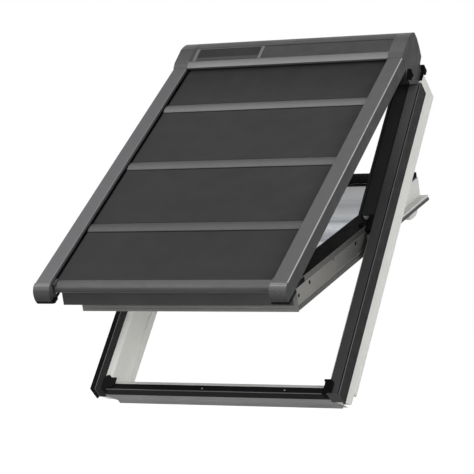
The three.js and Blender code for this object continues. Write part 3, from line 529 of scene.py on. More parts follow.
@dataclass(frozen=True)
class Pane(Surface):
    """Clear glass whose tint carries painted reflection: soft bands across it, lighter low down than higher
    up.
    """

    name: str = "glass_painted_reflection"
    colour: Colour = (100, 108, 119)
    slot: str = "glass"
    light: Colour = (248, 251, 255)
    upper: Colour = (172, 176, 182)
    span: Point = (0.22, 0.45)
    turn: float = SASH.slope()
    bands: float = 9
    band_stretch: float = 0.04
    band_range: Point = (0.4, 0.58)
    smears: float = 7
    gloss: Point = (0.01, 0.05)
    ripples: float = 3
    ripple_strength: float = 0.05
    ripple_depth: float = 0.2
    refraction: float = 1.45

    def build(self) -> Graph:
        """Make the node tree.

        Returns:
            The graph with its shader fed.
        """
        graph = Graph(self.name)
        bands = graph.noise(graph.place(self.turn, (self.band_stretch, 1, 1)), self.bands, BAND_DETAIL)
        smear = graph.noise(graph.place(), self.smears)
        light = graph.blend(graph.along(1, self.span), shade(self.light), shade(self.upper))
        graph.join(graph.blend(graph.spread(bands, 0, 1, *self.band_range), shade(self.colour), light),
                   graph.shader.inputs["Base Color"])
        graph.join(graph.spread(smear, *self.gloss), graph.shader.inputs["Roughness"])
        graph.bump(graph.noise(graph.place(), self.ripples, 1), self.ripple_strength, self.ripple_depth)
        graph.set(Transmission_Weight=1, IOR=self.refraction)
        return graph


@dataclass(frozen=True)
class SolarCells(Surface):
    """Dark cells under glass with fine collector lines across them."""

    name: str = "solar_cells"
    colour: Colour = (16, 17, 19)
    slot: str = "solar_glass"
    variation: float = 0.1
    line: Colour = (44, 44, 46)
    line_share: float = 0.35
    line_pitch: float = 31
    line_range: Point = (0.955, 0.965)
    mottles: float = 55
    mottle_detail: float = 5
    gloss_spots: float = 18
    gloss: Point = (0.3, 0.42)
    grain: float = 500
    grain_strength: float = 0.15
    grain_depth: float = 0.02
    specular: float = 0.1
    coat: float = 0.02
    coat_roughness: float = 0.2

    def build(self) -> Graph:
        """Make the node tree.

        Returns:
            The graph with its shader fed.
        """
        graph = Graph(self.name)
        place = graph.place(ROOF_PITCH)
        wave = graph.node("TexWave", bands_direction="X", wave_profile="SAW",
                          Scale=wave_scale(self.line_pitch), Detail=0)
        graph.join(place, wave.inputs["Vector"])
        lines = graph.spread(wave.outputs["Fac"], 0, self.line_share, *self.line_range)
        mottled = graph.blend(graph.spread(graph.noise(place, self.mottles, self.mottle_detail), 0, 1),
                              shade(self.colour, 1 - self.variation), shade(self.colour, 1 + self.variation))
        graph.join(graph.blend(lines, mottled, shade(self.line)), graph.shader.inputs["Base Color"])
        graph.join(graph.spread(graph.noise(place, self.gloss_spots), *self.gloss),
                   graph.shader.inputs["Roughness"])
        graph.bump(graph.noise(place, self.grain, GRAIN_DETAIL), self.grain_strength, self.grain_depth)
        graph.set(Specular_IOR_Level=self.specular, Coat_Weight=self.coat,
                  Coat_Roughness=self.coat_roughness)
        return graph


class Finishes:
    """All the finishes on the object."""

    LACQUER = Lacquer("white_lacquer", grey(205, -4))
    # painted light: the left frame member's lacquer is lighter than the right's
    PAINTED_LIGHT_LACQUER = Lacquer("painted_light_lacquer", grey(236, -5))
    SASH_LACQUER = Lacquer("sash_lacquer", grey(205, -3), "white", 0.45, stretch=(0.06, 1, 1),
                           turn=SASH.slope())
    # painted light: the side claddings' coating grows lighter towards the head
    CLADDING = Coating("cladding_painted_light", grey(60), metal=0.1, edge=1.5, specular=0.25, far=grey(90),
                       span=(0.28, 0.52))
    SHADED_CLADDING = Coating("shaded_cladding", grey(30), roughness=0.55, variation=0.05, grain_light=0.05,
                              edge=1.4, specular=0.08)
    # painted shade: the bottom cladding's front band, darker than the same coating on the sides
    BAND = Coating("band_painted_shade", grey(28), edge=1.4, specular=0.05)
    # painted highlight along the claddings' edges and ridges
    RIDGE_HIGHLIGHT = Coating("ridge_painted_highlight", grey(86), roughness=0.4, metal=0.1, variation=0.03, edge=1.1,
                    specular=0.3)
    # black coating, also used as painted shade in grooves and where the shutter shades covers and claddings
    BLACK_AND_SHADE_CLADDING = Coating("black_coating_and_painted_shade", grey(24), "black_cladding", 0.6, variation=0.06,
                             grain_light=0.05, edge=1.3, specular=0.01)
    COVER = Coating("cover_coating", grey(42), "black_cladding", variation=0.06, grain_light=0.05, edge=1.4,
                    specular=0.1)
    # painted shade: the sash top covers' outer walls darken towards the sash's head
    COVER_WALL_SHADE = Coating("cover_wall", (84, 83, 81), "black_cladding", metal=0.1, grain=1000, specular=0.15,
                         far=grey(46, -1), span=(-0.2, 0.16))
    # painted shade: the sash side covers darken towards the sash's head
    WARM_GREY_SHADE = Coating("warm_grey_painted_shade", (120, 119, 116), "sash_grey", metal=0.1, grain=1000,
                        specular=0.15, far=grey(64, -2), span=(-0.2, 0.16))
    PALE_GREY = Coating("pale_grey_coating", grey(112, -2), "sash_grey", 0.45, 0.1, grain=1000, specular=0.2)
    SILL_GREY = Coating("sill_grey_coating", grey(131, 0), metal=0.1, grain=1000, specular=0.2)
    INSERT = Coating("insert_plate", grey(39), "dark_plate", patch=7, grain=1200, specular=0.2)
    PLASTIC = Moulded("moulded_black", grey(15), edge=1.5, specular=0.04)
    HINGE_BLACK = Moulded("hinge_black", grey(6), roughness=0.7, grain_light=0.02, edge=2, specular=0.01)
    SHOE_GREY = Moulded("shoe_grey", grey(84, -2), variation=0.06, edge=1.4, specular=0.06)
    RUBBER = Rubber("dark_gasket", grey(18), variation=0.08, edge=1.1, specular=0.03)
    GREY_RUBBER = Rubber("grey_gasket", grey(84, -1), roughness=0.7, specular=0.1)
    LINER = Rubber("grey_liner", grey(36, 0), specular=0.03)
    # left rail: painted light, lighter than the right rail's coating and darker towards the head
    ALLOY = Alloy("metallic_painted_light", grey(83, 2), "alloy", 0.38, 0.3, edge=1.5, specular=0.3,
                  far=grey(65, 2), span=(-0.45, 0.35))
    # painted shade: the rail coating made darker for the right rail and the bottom bar
    SHADED_ALLOY = Alloy("metallic_painted_shade", grey(58), "alloy", 0.38, 0.3, edge=1.5, specular=0.3)
    # painted shade on the outward side walls of the rails, their end caps and the casing's end caps
    WALL_SHADED_ALLOY = Alloy("wall_painted_shade", grey(49), "alloy", 0.5, 0.1, grain_light=0.08, edge=1.3,
                       specular=0.15)
    CASING_ALLOY = Alloy("casing_coating", grey(37), "alloy", 0.4, 0.1, edge=1.4, specular=0.2)
    # painted highlight along the left rail's inner lip
    LIP_HIGHLIGHT_ALLOY = Alloy("lip_painted_highlight", grey(88), "alloy", 0.3, 0.4, grain_light=0.08, edge=1.3)
    # painted highlight along the right rail's rounded outer edge
    EDGE_HIGHLIGHT_ALLOY = Alloy("edge_painted_highlight", grey(150), "alloy", 0.28, 0.4, 0.02, grain_light=0.04, edge=1.05)
    # painted highlight: rail end caps dark low down and light at the top, with much lighter edges
    CAP_HIGHLIGHT_ALLOY = Alloy("cap_painted_highlight", grey(42), "alloy", 0.26, 0.2, edge=2.4, specular=0.4, far=grey(88),
                      axis=2, span=(0.302, 0.34))
    # painted highlight on the casing shell's front strip, darker towards the back
    STRIP_HIGHLIGHT = Alloy("strip_painted_highlight", grey(104), "alloy", 0.34, 0.2, grain_light=0.06, edge=1, specular=0.3,
                  far=grey(66), span=(0.405, 0.418))
    # painted light: the casing's end caps lighter at the front, darker towards the back
    END_PAINTED_LIGHT_ALLOY = Alloy("end_painted_light", grey(58), "alloy", 0.34, 0.15, edge=1.3, specular=0.25, far=grey(38),
                      span=(0.405, 0.455))
    FRAME_ALLOY = Alloy("frame_coating", grey(76), "alloy", 0.35, 0.2, edge=1.2, specular=0.3)
    # painted highlight: each slat light at its lower edge, fading to dark at its top
    SLAT_HIGHLIGHT = Alloy("satin_slat", grey(123), "alloy", 0.4, grain_light=0.06, edge=1.1, specular=0.1,
                  far=grey(38))
    STEEL = Finish("zinc_steel", grey(150, 2), "steel", 0.35, 0.9, patch=30)
    # painted shade: the cloth darkens towards the roller, under the casing
    SHADED_CLOTH = Weave("blackout_cloth_painted_shade", grey(50, 0), variation=0.035, grain_light=0.04, specular=0.08,
                  far=grey(37, 0), span=(0.24, 0.41))
    # painted shade in the creases along the slats' edges
    CREASE_SHADE = Weave("crease_painted_shade", grey(30, 0), variation=0.03, grain_light=0.03, specular=0.05)
    GLASS = Pane()
    CELLS = SolarCells()


class Shaper:
    """Builds one piece with mesh operators, in a space's own millimetres."""

    def __init__(self, space: Space) -> None:
        """Start an empty mesh.

        Args:
            space: the space that it is drawn in.
        """
        self.space = space
        self.mesh = bmesh.new()
        self.worn_and_highlit = self.mesh.faces.layers.float.new("worn_and_highlit")

    @classmethod
    def from_nodes(cls, space: Space, *nodes: str) -> "Shaper":
        """Start from merged copies of CAD nodes.

        Args:
            space: the space to work in.
            nodes: the CAD nodes' names.

        Returns:
            A shaper that holds one clean mesh.
        """
        made = cls(space)
        for node in nodes:
            made.mesh.from_mesh(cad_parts[node].data)
        bmesh.ops.transform(made.mesh, matrix=space.matrix().inverted(), verts=made.mesh.verts)
        bmesh.ops.remove_doubles(made.mesh, verts=made.mesh.verts, dist=MERGE_DISTANCE)
        bmesh.ops.dissolve_limit(made.mesh, angle_limit=math.radians(FLAT_DEGREES), verts=made.mesh.verts,
                                 edges=made.mesh.edges, use_dissolve_boundaries=False)
        bmesh.ops.dissolve_degenerate(made.mesh, dist=SHARD_LENGTH, edges=made.mesh.edges)
        bmesh.ops.recalc_face_normals(made.mesh, faces=made.mesh.faces)
        made.worn_and_highlit = made.mesh.faces.layers.float.get("worn_and_highlit") or made.mesh.faces.layers.float.new("worn_and_highlit")
        return made

    def pull(self, points: list[Point], start: float, end: float, run: Run) -> list[bmesh.types.BMVert]:
        """Pull a drawn section out along an axis.

        Args:
            points: corners of the section: (up, out) across, (across, out) up or (across, up) out.
            start: where the section starts on the axis.
            end: where it ends.
            run: the axis.

        Returns:
            The new vertices.
        """
        turned = {Run.ACROSS: lambda a, b: (start, a, b), Run.UP: lambda a, b: (a, start, b),
                  Run.OUT: lambda a, b: (a, b, start)}[run]
        step = {Run.ACROSS: Vector((1, 0, 0)), Run.UP: Vector((0, 1, 0)), Run.OUT: Vector((0, 0, 1))}[run]
        base = self.mesh.faces.new([self.mesh.verts.new(turned(*point)) for point in points])
        pulled = bmesh.ops.extrude_face_region(self.mesh, geom=[base], use_keep_orig=True)
        moved = [v for v in pulled["geom"] if isinstance(v, bmesh.types.BMVert)]
        bmesh.ops.translate(self.mesh, vec=step * (end - start), verts=moved)
        whole = list(base.verts) + moved
        faces = {face for vert in whole for face in vert.link_faces}
        bmesh.ops.recalc_face_normals(self.mesh, faces=list(faces))
        return whole

    def box(self, low: Place, high: Place) -> list[bmesh.types.BMVert]:
        """Add a box between two corners.

        Args:
            low: its lowest corner.
            high: its highest corner.

        Returns:
            The new vertices.
        """
        made = bmesh.ops.create_cube(self.mesh, size=1)["verts"]
        size = [b - a for a, b in zip(low, high)]
        middle = [(a + b) / 2 for a, b in zip(low, high)]
        bmesh.ops.scale(self.mesh, vec=size, verts=made)
        bmesh.ops.translate(self.mesh, vec=middle, verts=made)
        return made

    def disc(self, centre: Place, radius: float, height: float, axis: Run, steps: int = 16,
             top: float | None = None) -> list[bmesh.types.BMVert]:
        """Add a short round boss on a centre.

        Args:
            centre: the middle of its foot.
            radius: its radius at the foot.
            height: how far it stands out, less than zero to the other side.
            axis: the axis that it stands along.
            steps: its number of sides.
            top: its radius at the top.

        Returns:
            The new vertices.
        """
        made = bmesh.ops.create_cone(self.mesh, cap_ends=True, segments=steps, radius1=radius,
                                     radius2=radius if top is None else top, depth=abs(height))["verts"]
        quarter = math.pi / 2
        turn = {Run.ACROSS: Matrix.Rotation(quarter, 3, "Y"), Run.UP: Matrix.Rotation(-quarter, 3, "X"),
                Run.OUT: Matrix.Identity(3)}[axis]
        if height < 0:
            turn = turn @ Matrix.Rotation(math.pi, 3, "X")
        bmesh.ops.rotate(self.mesh, matrix=turn, verts=made)
        step = turn @ Vector((0, 0, abs(height) / 2))
        bmesh.ops.translate(self.mesh, vec=Vector(centre) + step, verts=made)
        return made

    def soften(self, width: float, segments: int = 2, least: float = 28) -> "Shaper":
        """Round the edges that are sharper than an angle, and mark them for rubbing and painted highlight.

        Args:
            width: the bevel's width.
            segments: the bevel's steps.
            least: the smallest angle in degrees between the faces of an edge that is rounded.

        Returns:
            The shaper itself.
        """
        edges = [edge for edge in self.mesh.edges
                 if len(edge.link_faces) == 2 and edge.calc_face_angle(0) > math.radians(least)
                 and edge.calc_length() > width]
        made = bmesh.ops.bevel(self.mesh, geom=edges, offset=width, segments=segments, profile=HALF,
                               affect="EDGES", clamp_overlap=True, material=-1)
        for face in made["faces"]:
            face[self.worn_and_highlit] = 1
        return self

    def paint(self, index: int, low: Place, high: Place) -> "Shaper":
        """Give another material slot to the faces whose middle lies in a box.

        Args:
            index: the material slot.
            low: the box's lowest corner.
            high: the box's highest corner.

        Returns:
            The shaper itself.
        """
        for face in self.mesh.faces:
            middle = face.calc_center_median()
            if all(a <= m <= b for a, m, b in zip(low, middle, high)):
                face.material_index = index
        return self

    def zone(self, index: int, low: Place, high: Place) -> "Shaper":
        """Cut the faces at a box's sides and give those inside it another material slot.

        Args:
            index: the material slot.
            low: the box's lowest corner, with FAR where it has no end.
            high: the box's highest corner, with FAR where it has no end.

        Returns:
            The shaper itself.
        """
        for corner in (low, high):
            for axis, at in enumerate(corner):
                if abs(at) < FAR:
                    normal = Vector((0, 0, 0))
                    normal[axis] = 1
                    whole = [*self.mesh.verts, *self.mesh.edges, *self.mesh.faces]
                    bmesh.ops.bisect_plane(self.mesh, geom=whole, dist=CUT_TOLERANCE, plane_co=normal * at,
                                           plane_no=normal)
        return self.paint(index, low, high)

    def piece(self, name: str, body: Body, *finishes: Finish, replaces: tuple[str, ...] = (),
              sharp: float = 35) -> bpy.types.Object:
        """Make the scene's object of this mesh.

        Args:
            name: the piece's name.
            body: the body it rides on.
            finishes: its finishes, the first for material slot 0.
            replaces: the CAD nodes that it stands for.
            sharp: edges over this angle in degrees stay sharp.

        Returns:
            The new object.
        """
        bmesh.ops.transform(self.mesh, matrix=self.space.matrix(), verts=self.mesh.verts)
        for face in self.mesh.faces:
            face.smooth = True
        for edge in self.mesh.edges:
            edge.smooth = len(edge.link_faces) == 2 and edge.calc_face_angle(0) < math.radians(sharp)
        data = bpy.data.meshes.new(name)
        self.mesh.to_mesh(data)
        self.mesh.free()
        made = linked(name, data)
        for finish in finishes:
            data.materials.append(finish.material())
        weigh = made.modifiers.new("even_shading", "WEIGHTED_NORMAL")
        weigh.keep_sharp = True
        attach(made, body.value)
        if replaces:
            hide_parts(*replaces)
        log.info("%s: %d faces on %s", name, len(data.polygons), body.value)
        return made


@dataclass(frozen=True)
class Zone:
    """A box of a piece, in its space's millimetres, that has a finish of its own."""

    finish: Finish
    low: Place = (-FAR, -FAR, -FAR)
    high: Place = (FAR, FAR, FAR)


def beside(sign: int, inner: float, outer: float = FAR, low: Point = (-FAR, -FAR),
           high: Point = (FAR, FAR)) -> tuple[Place, Place]:
    """Return the corners of a box on one side of the middle.

    Args:
        sign: the side.
        inner: its distance from the middle.
        outer: its far side's distance from the middle.
        low: its lowest place up and out.
        high: its highest place up and out.

    Returns:
        The lowest and the highest corner.
    """
    ends = sorted((sign * inner, sign * outer))
    return (ends[0], *low), (ends[1], *high)


def dress(node: str, finish: Finish) -> None:
    """Give a CAD node a finish.

    Args:
        node: the CAD node's name.
        finish: its finish.
    """
    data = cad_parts[node].data
    data.materials.clear()
    data.materials.append(finish.material())
    log.info("%s: finished as %s", node, finish.name)


@dataclass
class Assembly:
    """A sub-assembly whose pieces ride on one body and are drawn in its space."""

    body: Body
    space: Space
    edge: float
    trim_edge: float = 0.5

    def soften(self, node: str, finish: Finish, *zones: Zone, width: float | None = None,
               body: Body | None = None, segments: int = 2, shaper: Shaper | None = None) -> None:
        """Replace a CAD node by a copy with rounded edges.

        Args:
            node: the CAD node's name.
            finish: the copy's finish.
            zones: its parts with other finishes, a later one over an earlier one.
            width: the width of the rounded edges, where it isn't the assembly's own.
            body: the body it rides on, where it isn't the assembly's own.
            segments: the bevel's steps.
            shaper: the copy, where something has been added to it already.
        """
        shaper = (shaper or Shaper.from_nodes(self.space, node)).soften(width or self.edge, segments)
        for index, zone in enumerate(zones):
            shaper.zone(index + 1, zone.low, zone.high)
        finishes = [finish] + [zone.finish for zone in zones]
        shaper.piece(node + "_soft", body or self.body, *finishes, replaces=(node,))

    def trim(self, node: str, finish: Finish, *zones: Zone, shaper: Shaper | None = None) -> None:
        """Replace a thin CAD node by a copy with finely rounded edges."""
        self.soften(node, finish, *zones, width=self.trim_edge, shaper=shaper)


@dataclass
class WindowFrame(Assembly):
    """The fixed frame with its claddings and small fittings."""

    body: Body = Body.FRAME
    space: Space = WINDOW
    edge: float = 1.2
    front: float = 121.7
    half_sill: float = 358
    half_lower_sill: float = 332
    sill_face: Point = (28.97, 31.65)
    sill_range: Point = (1, 18)
    ridge_start: float = 0.01
    ridge_drop: float = 2.2
    black_drop: float = 1
    band_foot: float = 93
    wall: float = 395.3
    groove: Point = (389, 391.9)
    groove_drop: float = 3
    shade_line: Point = (378.6, 380.2)
    cover_line: Point = (312, 315)
    screw_places: Point = (-32, 226)
    screw_up: float = 10
    screw_radius: float = 2.6
    screw_top_share: float = 0.7
    screw_sink: float = 0.1
    screw_height: float = 1
    tab_span: Point = (343, 356)
    tab_depth: float = 1.4
    tab_drop: float = 16
    tab_rise: float = 4
    tab_gap: float = 0.05
    tab_seat: float = 0.4
    tab_reach: float = 5

    def build(self) -> None:
        """Make and dress the frame's pieces in order."""
        self.timber()
        self.claddings()
        self.sill()
        self.fittings()

    def timber(self) -> None:
        """Dress the lacquered members, the left side lighter as painted light."""
        self.soften("frame_side_left", Finishes.PAINTED_LIGHT_LACQUER)
        self.soften("frame_side_right", Finishes.LACQUER)
        for node in ("frame_bottom_rail", "frame_top_rail"):
            self.soften(node, Finishes.SASH_LACQUER)

    def claddings(self) -> None:
        """Dress the side claddings, the upper covers and the flap at the head."""
        start, end = self.groove
        groove_foot = (-FAR, self.front - self.groove_drop)
        # right cladding: painted shade on the outward wall and in the groove, painted highlight on the ridge
        right = [Zone(Finishes.SHADED_CLADDING, *beside(1, self.wall)),
                 Zone(Finishes.BLACK_AND_SHADE_CLADDING, *beside(1, start, end, groove_foot)),
                 Zone(Finishes.RIDGE_HIGHLIGHT, *beside(1, end, self.wall, (-FAR, self.front)))]
        start, end = self.shade_line
        # left cladding: painted shade on the outer band and the inner face, painted highlight on the line
        # between
        left = [Zone(Finishes.BLACK_AND_SHADE_CLADDING, *beside(-1, end)),
                Zone(Finishes.RIDGE_HIGHLIGHT, *beside(-1, start, end)),
                Zone(Finishes.SHADED_CLADDING, *beside(-1, 0, start))]
        for side, sign in SIDES.items():
            self.trim("side_cladding_" + side, Finishes.CLADDING, *(right if sign > 0 else left))
            self.trim("upper_cover_" + side, Finishes.COVER,
                      Zone(Finishes.BLACK_AND_SHADE_CLADDING, *beside(sign, *self.cover_line)))
        self.trim("top_seal", Finishes.RUBBER)

    def sill(self) -> None:
        """Dress the bottom cladding: a black top, partly black coating and partly painted shade, a painted
        highlight on the ridge, a band darkened as painted shade and a grey plate.
        """
        shaper = Shaper.from_nodes(self.space, "bottom_cladding")
        low, high = zip(self.sill_face, self.sill_range)
        for sign in SIDES.values():
            shaper.box(*beside(sign, self.half_lower_sill, self.half_sill, low, high))
        ridge = Zone(Finishes.RIDGE_HIGHLIGHT, (-FAR, self.ridge_start, self.front - self.ridge_drop),
                     (FAR, self.ridge_drop, FAR))
        black = Zone(Finishes.BLACK_AND_SHADE_CLADDING, (-FAR, self.ridge_drop, self.front - self.black_drop))
        plate = Zone(Finishes.SILL_GREY, high=(FAR, FAR, self.band_foot))
        self.trim("bottom_cladding", Finishes.BAND, black, ridge, plate, shaper=shaper)
        screws = Shaper(self.space)
        for place in self.screw_places:
            screws.disc((place, self.screw_up, self.front - self.screw_sink), self.screw_radius,
                        self.screw_height, Run.OUT, top=self.screw_radius * self.screw_top_share)
        screws.piece("sill_screws", self.body, Finishes.STEEL)

    def fittings(self) -> None:
        """Dress corner blocks and pivot housings, and hook each block over the front."""
        top = self.front + self.tab_rise
        for side, sign in SIDES.items():
            self.soften("corner_block_" + side, Finishes.PLASTIC)
            self.soften("pivot_housing_" + side, Finishes.PLASTIC)
            hook = Shaper(self.space)
            hook.box(*beside(sign, *self.tab_span, (-self.tab_depth, self.front - self.tab_drop),
                             (-self.tab_gap, top)))
            hook.box(*beside(sign, *self.tab_span, (-self.tab_depth, self.front + self.tab_seat),
                             (self.tab_reach, top)))
            hook.soften(self.trim_edge).piece("corner_hook_" + side, self.body, Finishes.PLASTIC)


@dataclass
class Casing(Assembly):
    """The casing over the rolled curtain, with its solar cell and drive."""

    body: Body = Body.FRAME
    space: Space = WINDOW
    edge: float = 1.4
    trim_edge: float = 0.6
    strip: Point = (1105, 1129.8)
    strip_foot: float = 250
    wall: float = 386.2
    tray: Point = (-325.7, -89.9)
    tray_rim: float = 11
    recess: Point = (1130.3, 1188.7)
    rim: float = 2.8
    clip_out: float = 386.3
    clip_depth: float = 1.4
    clip_edge: float = 0.3
    clip_outline: tuple[Point, ...] = ((-30, -12), (-20, -19), (10, -11), (28, -1), (14, 8), (-20, 16),
                                       (-28, 4))

    def build(self) -> None:
        """Make and dress the casing's pieces in order."""
        self.shell()
        for side, sign in SIDES.items():
            # end caps: painted light fading back, painted shade on the outward wall
            self.soften("casing_end_cap_" + side, Finishes.END_PAINTED_LIGHT_ALLOY,
                        Zone(Finishes.WALL_SHADED_ALLOY, *beside(sign, self.wall)))
            self.trim("hinge_pin_" + side, Finishes.HINGE_BLACK)
            dress("roller_bracket_" + side, Finishes.STEEL)
            clip = Shaper(HINGE)
            face = sign * (self.clip_out + self.clip_depth)
            clip.pull(list(self.clip_outline), sign * self.clip_out, face, Run.ACROSS)
            clip.soften(self.clip_edge).piece("hinge_clip_" + side, self.body, Finishes.HINGE_BLACK)
        self.trim("casing_insert", Finishes.INSERT)
        self.trim("solar_panel", Finishes.CELLS)
        dress("battery_pack", Finishes.PLASTIC)
        dress("roller_tube", Finishes.STEEL)

    def shell(self) -> None:
        """Dress the shell with a painted highlight on its lower strip, and the frame round the solar cell.
        """
        strip = Zone(Finishes.STRIP_HIGHLIGHT, (-FAR, self.strip[0], self.strip_foot), (FAR, self.strip[1], FAR))
        start, end = self.tray
        low, high = self.recess
        boxes = [(start, low, start + self.tray_rim), (end - self.tray_rim, low, end),
                 (start, high - self.rim, end)]
        frames = [Zone(Finishes.FRAME_ALLOY, (left, foot, self.strip_foot), (right, high, FAR))
                  for left, foot, right in boxes]
        self.soften("casing_shell", Finishes.CASING_ALLOY, strip, *frames)


@dataclass
class ShutterRails(Assembly):
    """The guide rails with their liners, end caps and hinge arms."""

    body: Body = Body.SHUTTER
    space: Space = SHUTTER
    edge: float = 1
    wall: float = 386.2
    outer_edge: float = 383.6
    inner_edge: float = 341.2
    bright_above: float = 73.6
    # height below which the end caps are painted black as shade
    foot: float = 33
    cap_steps: int = 3

    def build(self) -> None:
        """Make and dress the rails' pieces in order."""
        # the end caps' undersides are painted black as shade
        foot = Zone(Finishes.PLASTIC, high=(FAR, FAR, self.foot))
        bright = (-FAR, self.bright_above)
        for side, sign in SIDES.items():
            wall = Zone(Finishes.WALL_SHADED_ALLOY, *beside(sign, self.wall))
            # right rail: darker coating as painted shade; left rail: lighter as painted light; each with a
            # painted highlight
            if sign > 0:
                coating = Finishes.SHADED_ALLOY
                lip = Zone(Finishes.EDGE_HIGHLIGHT_ALLOY, *beside(sign, self.outer_edge, low=bright))
            else:
                coating = Finishes.ALLOY
                lip = Zone(Finishes.LIP_HIGHLIGHT_ALLOY, *beside(sign, 0, self.inner_edge, bright))
            self.soften("guide_rail_" + side, coating, wall, lip)
            self.soften("rail_end_cap_" + side, Finishes.CAP_HIGHLIGHT_ALLOY, wall, foot, segments=self.cap_steps)
            self.trim("rail_liner_" + side, Finishes.LINER)
            self.soften("hinge_arm_" + side, Finishes.PLASTIC)


@dataclass
class Curtain(Assembly):
    """The blackout cloth with its slats and bottom bar."""

    body: Body = Body.SHUTTER
    space: Space = SHUTTER
    edge: float = 0.7
    half_width: float = 333
    rail_end: float = -24.6
    depth: float = 14
    rail_top: float = 76.5
    thickness: float = 0.8
    tuck: float = 40
    length: float = 1058
    travel: float = 980
    slat_places: Place = (209.4, 511.9, 816.4)
    slat_highlight_greys: Place = (108, 95, 84)
    slat_half: float = 19
    slat_rise: float = 4.8
    slat_foot: float = 60.2
    slat_lift: float = 0.1
    slat_smooth: float = 50
    crease_shade: float = 2.2
    crease_shade_lift: float = 0.2
    steps: int = 14
    columns: int = 28
    rows: int = 90
    sag: float = 2.2
    sag_power: float = 0.8
    side_power: float = 3
    cloth_smooth: float = 60
    slack: float = 0.01

    @property
    def surface(self) -> float:
        """The cloth's height in the shutter frame."""
        return self.rail_top - self.depth

    @property
    def slats(self) -> list[str]:
        """The slats' names from the top."""
        return [f"slat_{number + 1}" for number in range(len(self.slat_places))]

    def down(self, place: float) -> float:
        """Return the height on the shutter of a place down the rails."""
        return self.rail_end - place

    def build(self) -> None:
        """Make and dress the curtain's pieces in order."""
        self.cloth()
        for name, place, value in zip(self.slats, self.slat_places, self.slat_highlight_greys):
            self.slat(name, self.down(place), value)
        self.soften("bottom_bar", Finishes.SHADED_ALLOY, body=Body.BAR)

    def gather(self, piece: bpy.types.Object) -> None:
        """Give a piece its own mesh; where the cloth starts and ends is worked out but not used.

        Args:
            piece: the cloth or one of its slats.
        """
        start, end = (self.space.matrix() @ Vector((0, up, self.surface))
                      for up in (self.down(-self.tuck), self.down(self.length)))
        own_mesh(piece)

    def slat(self, name: str, middle: float, value: float) -> None:
        """Make one bowed slat, with a dark strip along each edge as painted shade in the creases of the
        cloth.

        Args:
            name: the slat's CAD node.
            middle: its middle's height on the shutter.
            value: the grey of the painted highlight at its lower edge.
        """
        surface = self.surface + self.slat_lift
        arc = [(middle + self.slat_half * math.cos(turn), surface + self.slat_rise * math.sin(turn))
               for turn in (math.pi * step / self.steps for step in range(self.steps + 1))]
        shaper = Shaper(self.space)
        edges = [middle - self.slat_half, middle + self.slat_half]
        shaper.pull([(edge, self.slat_foot) for edge in edges] + arc, -self.half_width, self.half_width,
                    Run.ACROSS)
        # dark strips along both edges, standing for the shade in the creases
        low, high = edges[0] - self.crease_shade, edges[1] + self.crease_shade
        top = surface + self.crease_shade_lift
        crease_strip = [(low, self.slat_foot), (high, self.slat_foot), (high, top), (low, top)]
        shaper.pull(crease_strip, -self.half_width, self.half_width, Run.ACROSS)
        shaper.paint(1, (-FAR, -FAR, -FAR), (FAR, FAR, top + self.slack))
        span = sorted((self.space.matrix() @ Vector((0, edge, surface))).y for edge in edges)
        slat_highlight = replace(Finishes.SLAT_HIGHLIGHT, name="satin_" + name, colour=grey(value, 0), span=tuple(span))
        self.gather(shaper.piece(name + "_soft", self.body, slat_highlight, Finishes.CREASE_SHADE, replaces=(name,),
                                 sharp=self.slat_smooth))

    def cloth(self) -> None:
        """Stretch one sheet from the roller to the bottom bar, with a slight hollow between the slats."""
        shaper = Shaper(self.space)
        top, foot = self.down(-self.tuck), self.down(self.length)
        made = bmesh.ops.create_grid(shaper.mesh, x_segments=self.columns, y_segments=self.rows,
                                     size=HALF)["verts"]
        bmesh.ops.scale(shaper.mesh, vec=(self.half_width * 2, top - foot, 1), verts=made)
        bmesh.ops.translate(shaper.mesh, vec=(0, (top + foot) / 2, self.surface), verts=made)
        stops = [top] + [self.down(place) for place in self.slat_places] + [foot]
        for vert in made:
            above = min(stop for stop in stops if stop >= vert.co.y - self.slack)
            below = max(stop for stop in stops if stop <= vert.co.y + self.slack)
            share = (vert.co.y - below) / (above - below) if above > below else 0
            across = 1 - abs(vert.co.x / self.half_width) ** self.side_power
            vert.co.z -= self.thickness + self.sag * math.sin(math.pi * share) ** self.sag_power * across
        panels = tuple(f"fabric_panel_{number + 1}" for number in range(len(self.slats) + 1))
        cloth = shaper.piece("curtain_cloth", self.body, Finishes.SHADED_CLOTH, replaces=panels,
                             sharp=self.cloth_smooth)
        thick = cloth.modifiers.new("thickness", "SOLIDIFY")
        thick.thickness = self.thickness * MM
        thick.offset = 0
        self.gather(cloth)


